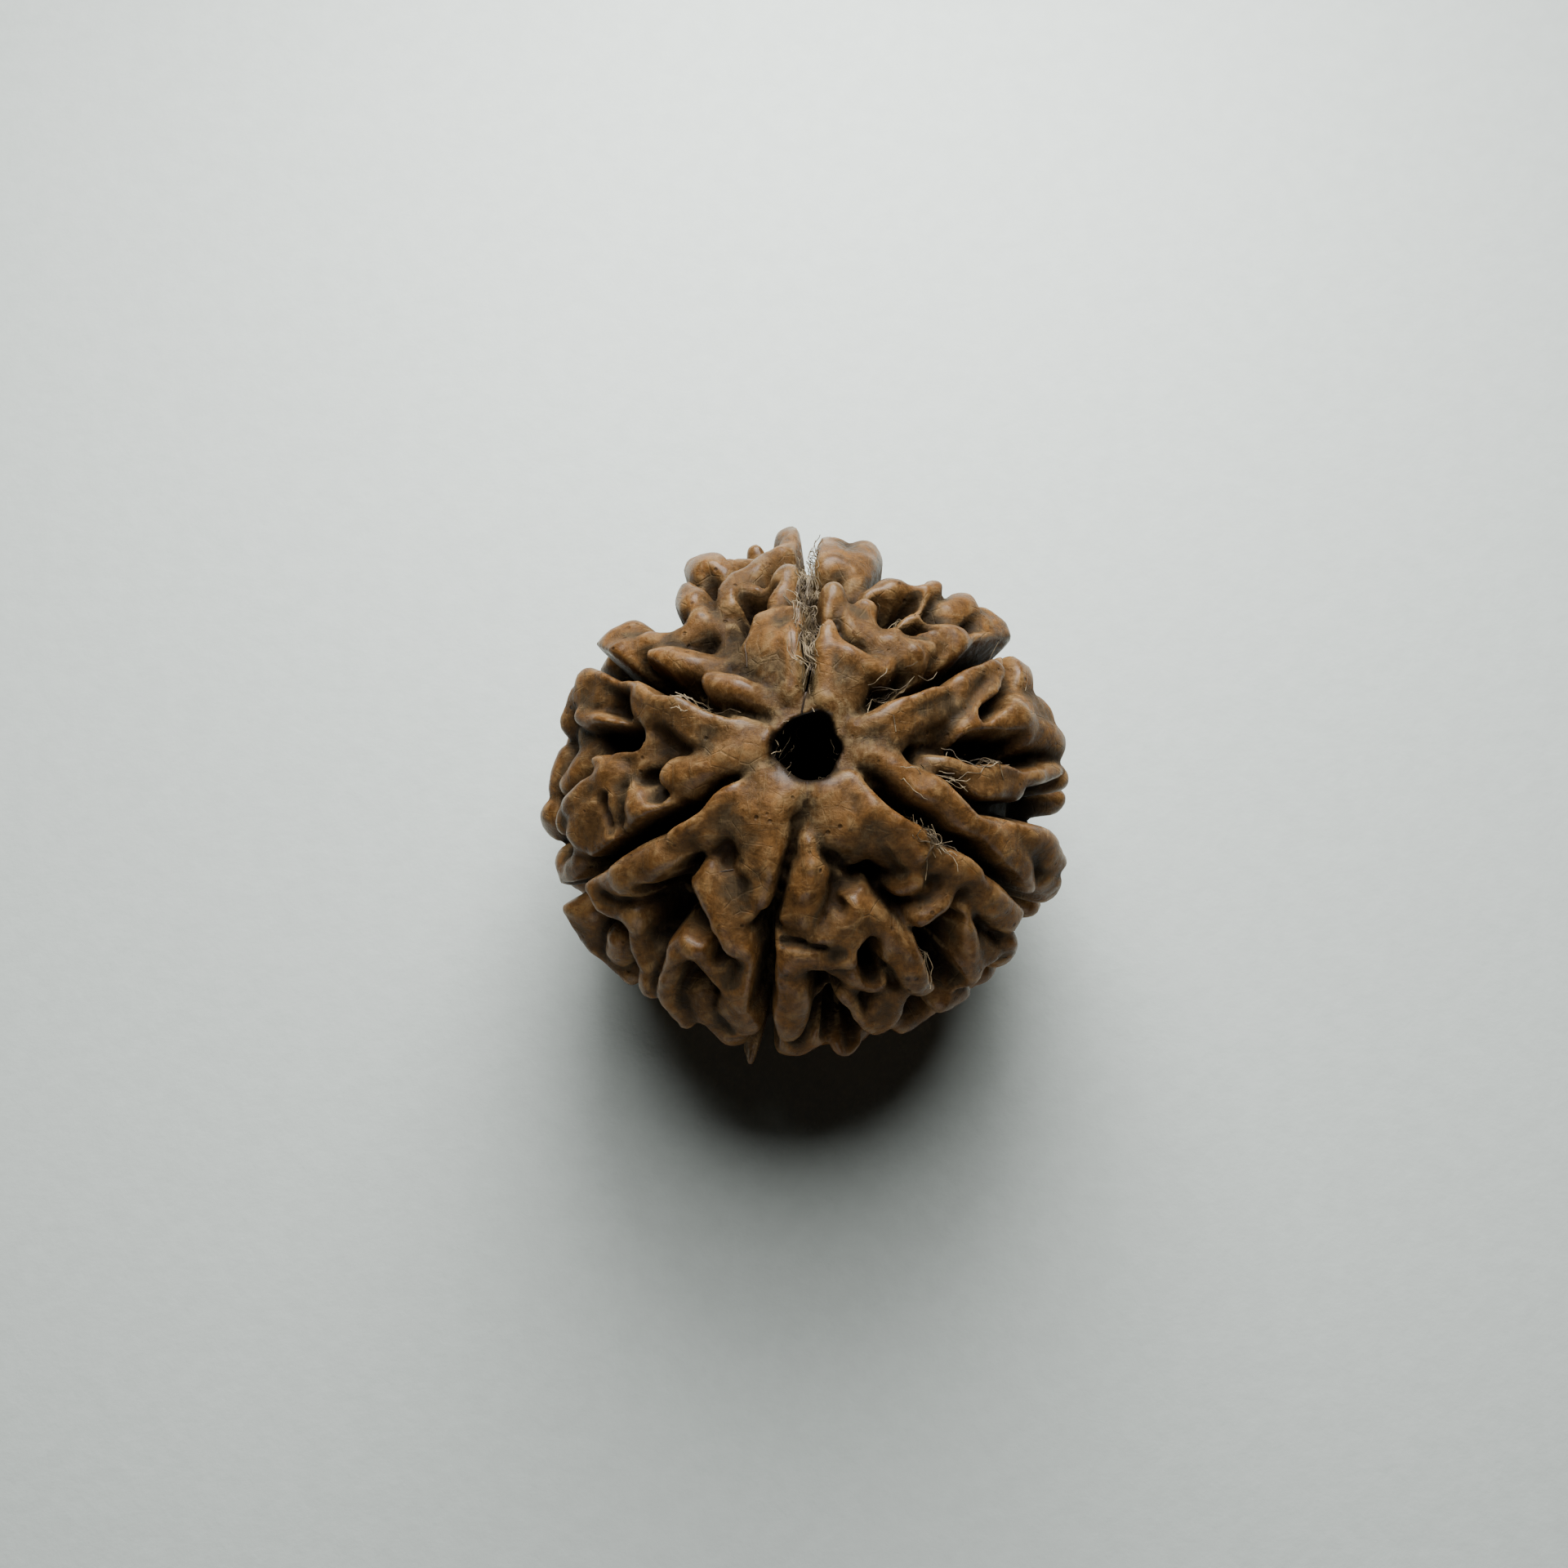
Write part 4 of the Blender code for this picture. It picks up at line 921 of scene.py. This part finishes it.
def fibreTree():
    # scatters curly fibres over a mesh: they lie along the surface and mostly run down the bead
    tree = bpy.data.node_groups.new("fibreGrowth", "GeometryNodeTree")
    face = tree.interface
    face.new_socket("Geometry", in_out="INPUT", socket_type="NodeSocketGeometry")
    for name, value in fibreSettings.items():
        kind = "NodeSocketInt" if isinstance(value, int) else "NodeSocketFloat"
        face.new_socket(name, in_out="INPUT", socket_type=kind)
    face.new_socket("Material", in_out="INPUT", socket_type="NodeSocketMaterial")
    face.new_socket("Geometry", in_out="OUTPUT", socket_type="NodeSocketGeometry")

    def step(kind, links=(), **settings):
        node = tree.nodes.new(kind)
        for name, value in settings.items():
            setattr(node, name, value)
        for slot, value in dict(links).items():
            target = node.inputs[slot]
            if isinstance(value, bpy.types.NodeSocket):
                tree.links.new(value, target)
            else:
                target.default_value = value
        return node

    def moved(operation, links):
        return step("ShaderNodeVectorMath", links, operation=operation).outputs[0]

    def drawn(low, high, seed, kind="FLOAT"):
        slots, output = ((0, 1), 0) if kind == "FLOAT_VECTOR" else ((2, 3), 1)
        links = {slots[0]: low, slots[1]: high, "Seed": seed}
        return step("FunctionNodeRandomValue", links, data_type=kind).outputs[output]

    given = step("NodeGroupInput").outputs
    share = step("GeometryNodeInputNamedAttribute", {"Name": "tuft"}, data_type="FLOAT").outputs[0]
    density = step("ShaderNodeMath", {0: share, 1: given["Density"]}, operation="MULTIPLY").outputs[0]
    spread = step("GeometryNodeDistributePointsOnFaces", {
        "Mesh": given["Geometry"], "Density": density, "Seed": given["Seed"],
    }).outputs
    out = moved("SCALE", {0: spread["Normal"], "Scale": drawn(0.0, given["Lift"], 1)})
    raised = step("GeometryNodeSetPosition", {"Geometry": spread["Points"], "Offset": out}).outputs[0]
    flat = step("FunctionNodeAlignRotationToVector", {"Vector": spread["Normal"]}, axis="Z").outputs[0]
    place = step("GeometryNodeInputPosition").outputs[0]
    down = moved("MULTIPLY", {0: moved("SUBTRACT", {0: place, 1: beadMiddle}), 1: (1, 1, 0)})
    along = step("FunctionNodeAlignRotationToVector", {
        "Rotation": flat, "Vector": down,
    }, axis="X", pivot_axis="Z").outputs[0]
    turn = drawn([-most for most in fibreShape["turn"]], fibreShape["turn"], 2, "FLOAT_VECTOR")
    twist = step("FunctionNodeEulerToRotation", {"Euler": turn}).outputs[0]
    laid = step("FunctionNodeRotateRotation", {
        "Rotation": along, "Rotate By": twist,
    }, rotation_space="LOCAL").outputs[0]
    thread = step("GeometryNodeCurvePrimitiveLine", {"Start": (-0.5, 0, 0), "End": (0.5, 0, 0)}).outputs[0]
    fine = step("GeometryNodeResampleCurve", {
        "Curve": thread, "Count": fibreShape["points"],
    }).outputs[0]
    placed = step("GeometryNodeInstanceOnPoints", {
        "Points": raised, "Instance": fine, "Rotation": laid,
        "Scale": drawn(given["Shortest"], given["Longest"], 3),
    }).outputs[0]
    single = step("GeometryNodeRealizeInstances", {"Geometry": placed}).outputs[0]
    wander = step("ShaderNodeTexNoise", {
        "Vector": place, "Scale": fibreShape["wander"], "Detail": 2.0,
    }).outputs["Color"]
    centred = moved("SUBTRACT", {0: wander, 1: (0.5, 0.5, 0.5)})
    bend = moved("SCALE", {0: centred, "Scale": given["Curl"]})
    curly = step("GeometryNodeSetPosition", {"Geometry": single, "Offset": bend}).outputs[0]
    ring = step("GeometryNodeCurvePrimitiveCircle", {
        "Resolution": fibreShape["sides"], "Radius": given["Radius"],
    }).outputs[0]
    solid = step("GeometryNodeCurveToMesh", {
        "Curve": curly, "Profile Curve": ring, "Fill Caps": True,
    }).outputs[0]
    joined = step("GeometryNodeRealizeInstances", {"Geometry": solid}).outputs[0]
    coated = step("GeometryNodeSetMaterial", {
        "Geometry": joined, "Material": given["Material"],
    }).outputs[0]
    step("NodeGroupOutput", {"Geometry": coated})
    return tree


def fibreMaterial():
    finish = finishMaker("pulpFibre")
    tone = finish.noise(1600, 2)
    colour = finish.blend(finish.ramp(tone, 0.40, 0.62), fibreFinish["brown"], fibreFinish["pale"])
    finish.set({"Base Color": colour, "Roughness": finish.ramp(tone, 0.3, 0.7, 0.5, 0.7)})
    return finish.material


def makeFibres(bead):
    tree = fibreTree()
    bed = addObject("fibreBed", bead.data)
    growth = bed.modifiers.new("fibres", "NODES")
    growth.node_group = tree
    keys = {item.name: item.identifier for item in tree.interface.items_tree if item.in_out == "INPUT"}
    for name, value in fibreSettings.items():
        growth[keys[name]] = value
    material = fibreMaterial()
    growth[keys["Material"]] = material
    mesh = evaluatedMesh(bed)
    bed.modifiers.remove(growth)
    bpy.data.objects.remove(bed)
    mesh.shade_smooth()
    return showPiece("pulp_fibres", mesh, material), material


# single strands: radius in mm, then azimuth, polar angle and drop under the outer form, in mm;
# where the drop would take a point into the stone, it lies on the surface
strands = [
    (0.024, (30.5, 24, 3), (25, 23, 3), (17.5, 22.5, 3), (9.5, 22.5, 3)),
    (0.028, (90, 57.5, 0.5), (88.5, 52.5, 0.2), (89, 48, 0.4), (90.5, 43.5, 0.6), (89.5, 41, 0.4)),
    (0.028, (358, 47, 0.9), (357, 49, 0.7), (0, 51, 0.6), (358, 52, 0.9), (355, 54, 1.2)),
    (0.026, (324, 37, 0.9), (328, 39, 0.4), (325, 41, 0.3), (322, 39, 0.5), (326, 37, 0.8)),
    (0.015, (32, 75, 3), (30.5, 71, 3), (26.5, 68.5, 3), (24, 68, 3), (21, 66, 3)),
    (0.015, (36, 70, 3), (32, 66, 3), (28, 63, 3)),
    (0.016, (314.5, 60, 3), (312, 68.5, 3), (311, 75, 3), (310.5, 82, 3)),
    (0.022, (163, 33, 1.5), (159, 35, 0.9), (155, 36, 0.8), (157, 38, 1.1)),
]
darkStrands = [
    (0.042, (100, 9.5, 1.6), (94, 12, 0.6), (90, 15, 0.4), (88.5, 17.5, 0.3), (88, 19.5, 0.35)),
    (0.022, (227, 43.5, 3), (230.5, 41.5, 3), (235, 39, 3), (238, 37.5, 3)),
    (0.020, (124.5, 29.5, 3), (121, 32, 3), (120, 34.5, 3), (115, 36.5, 3)),
]


strandLay = {
    "castFrom": 0.02,         # metres from the bead's middle, outside it
    "clearance": 0.00002,
    "resolution": 8,
}


def strandCurve(name, lines, bead):
    data = bpy.data.curves.new(name, "CURVE")
    data.dimensions = "3D"
    data.bevel_depth = mm     # a point's radius is then in mm
    data.bevel_resolution = 0
    data.use_fill_caps = True
    surface = bead.evaluated_get(bpy.context.evaluated_depsgraph_get())
    for radius, *spots in lines:
        azimuth, polar, drop = np.array(spots, float).T
        unit = directions(azimuth, polar)
        spline = data.splines.new("NURBS")
        spline.points.add(len(unit) - 1)
        spline.order_u = 3
        spline.use_endpoint_u = True
        spline.resolution_u = strandLay["resolution"]
        for target, way, out in zip(spline.points, unit, (outerRadius(unit) - drop) * mm):
            way = Vector(way)
            found, spot, _, _ = surface.ray_cast(beadMiddle + way * strandLay["castFrom"], -way)
            if found:
                out = max(out, (spot - beadMiddle).length + strandLay["clearance"])
            target.co = (*(beadMiddle + way * out), 1)
            target.radius = radius
    return addObject(name, data)


def darkStrandMaterial():
    finish = finishMaker("darkStrand")
    colour = finish.blend(finish.noise(2500, 2), fibreFinish["darkBrown"], fibreFinish["darkPale"])
    finish.set({"Base Color": colour, "Roughness": fibreFinish["darkRoughness"]})
    return finish.material


def makeStrands(name, lines, bead, material):
    curve = strandCurve(name + "Path", lines, bead)
    mesh = evaluatedMesh(curve)
    bpy.data.objects.remove(curve)
    return showPiece(name, mesh, material)


studio = {
    "floorSide": 2.0,
    "floor": (0.72, 0.79, 0.745),
    # each lamp's power, width, distance, elevation and turn from straight behind the bead
    "lamps": (
        (0.410, 0.190, 0.162, 49, 1),
        (0.056, 0.044, 0.057, 36, 2),
        (0.21, 0.24, 0.2, 18, 180),
    ),
    "world": (0.62, 0.66, 0.70),
    "worldStrength": 0.012,
    "elevation": 76.0,
    "distance": 0.108,
    "lens": 60.0,
    "sensor": 36.0,
    "clip": (0.005, 20),
    "imageSide": 1920,
    "aimRight": -27.0,        # the aim's place from the bead's middle, in pixels of the image
    "aimUp": 16.0,
}


def makeFloor():
    bm = bmesh.new()
    bmesh.ops.create_grid(bm, x_segments=1, y_segments=1, size=studio["floorSide"] / 2)
    floor = addObject("floor", meshFrom(bm, "floor"))
    finish = finishMaker("paper")
    tone = finish.ramp(finish.noise(900, 4, 0.6), 0.3, 0.7, 0.97, 1.02)
    finish.set({
        "Base Color": finish.blend(1.0, studio["floor"], finish.grey(tone), "MULTIPLY"),
        "Normal": finish.bump(finish.noise(1500, 4, 0.6), 0.25, 0.0001),
        "Roughness": 0.9,
        "Specular IOR Level": 0.2,
    })
    floor.data.materials.append(finish.material)


def makeLights(pieces):
    lit = bpy.data.collections.new("litByFill")
    for piece in pieces:
        lit.objects.link(piece)
    for number, (power, width, distance, elevation, turn) in enumerate(studio["lamps"]):
        light = bpy.data.lights.new(f"lamp{number}", "AREA")
        light.shape = "DISK"
        light.size = width
        light.energy = power
        lamp = addObject(f"lamp{number}", light)
        tilt = math.radians(elevation)
        side = math.radians(turn)
        flat = math.cos(tilt)
        way = Vector((math.sin(side) * flat, math.cos(side) * flat, math.sin(tilt)))
        lamp.location = beadMiddle + way * distance
        lamp.rotation_euler = (beadMiddle - lamp.location).to_track_quat("-Z", "Y").to_euler()
        lamp.visible_camera = False
        if math.cos(side) < 0:
            # the fill from the front is for the bead alone and leaves its shadow dark
            lamp.light_linking.receiver_collection = lit
    world = bpy.data.worlds.new("softRoom")
    world.use_nodes = True
    background = world.node_tree.nodes["Background"]
    background.inputs["Color"].default_value = (*studio["world"], 1)
    background.inputs["Strength"].default_value = studio["worldStrength"]
    bpy.context.scene.world = world


def makeCamera():
    tilt = math.radians(studio["elevation"])
    back = Vector((0, -math.cos(tilt), math.sin(tilt)))
    right = Vector((1, 0, 0))
    up = back.cross(right)
    pixel = studio["distance"] * studio["sensor"] / studio["lens"] / studio["imageSide"]
    aim = beadMiddle + right * studio["aimRight"] * pixel + up * studio["aimUp"] * pixel
    lens = bpy.data.cameras.new("camera")
    lens.lens = studio["lens"]
    lens.sensor_width = studio["sensor"]
    lens.clip_start, lens.clip_end = studio["clip"]
    camera = addObject("camera", lens)
    camera.matrix_world = Matrix((right, up, back)).transposed().to_4x4()
    camera.location = aim + back * studio["distance"]
    bpy.context.scene.camera = camera


bead = makeBead()
print("stone is in")
fibres, pulp = makeFibres(bead)
loose = makeStrands("loose_strands", strands, bead, pulp)
dark = makeStrands("dark_strands", darkStrands, bead, darkStrandMaterial())
print("fibres are in")
makeCamera()
makeFloor()
makeLights([bead, fibres, loose, dark])
print("camera, floor and lights are in")
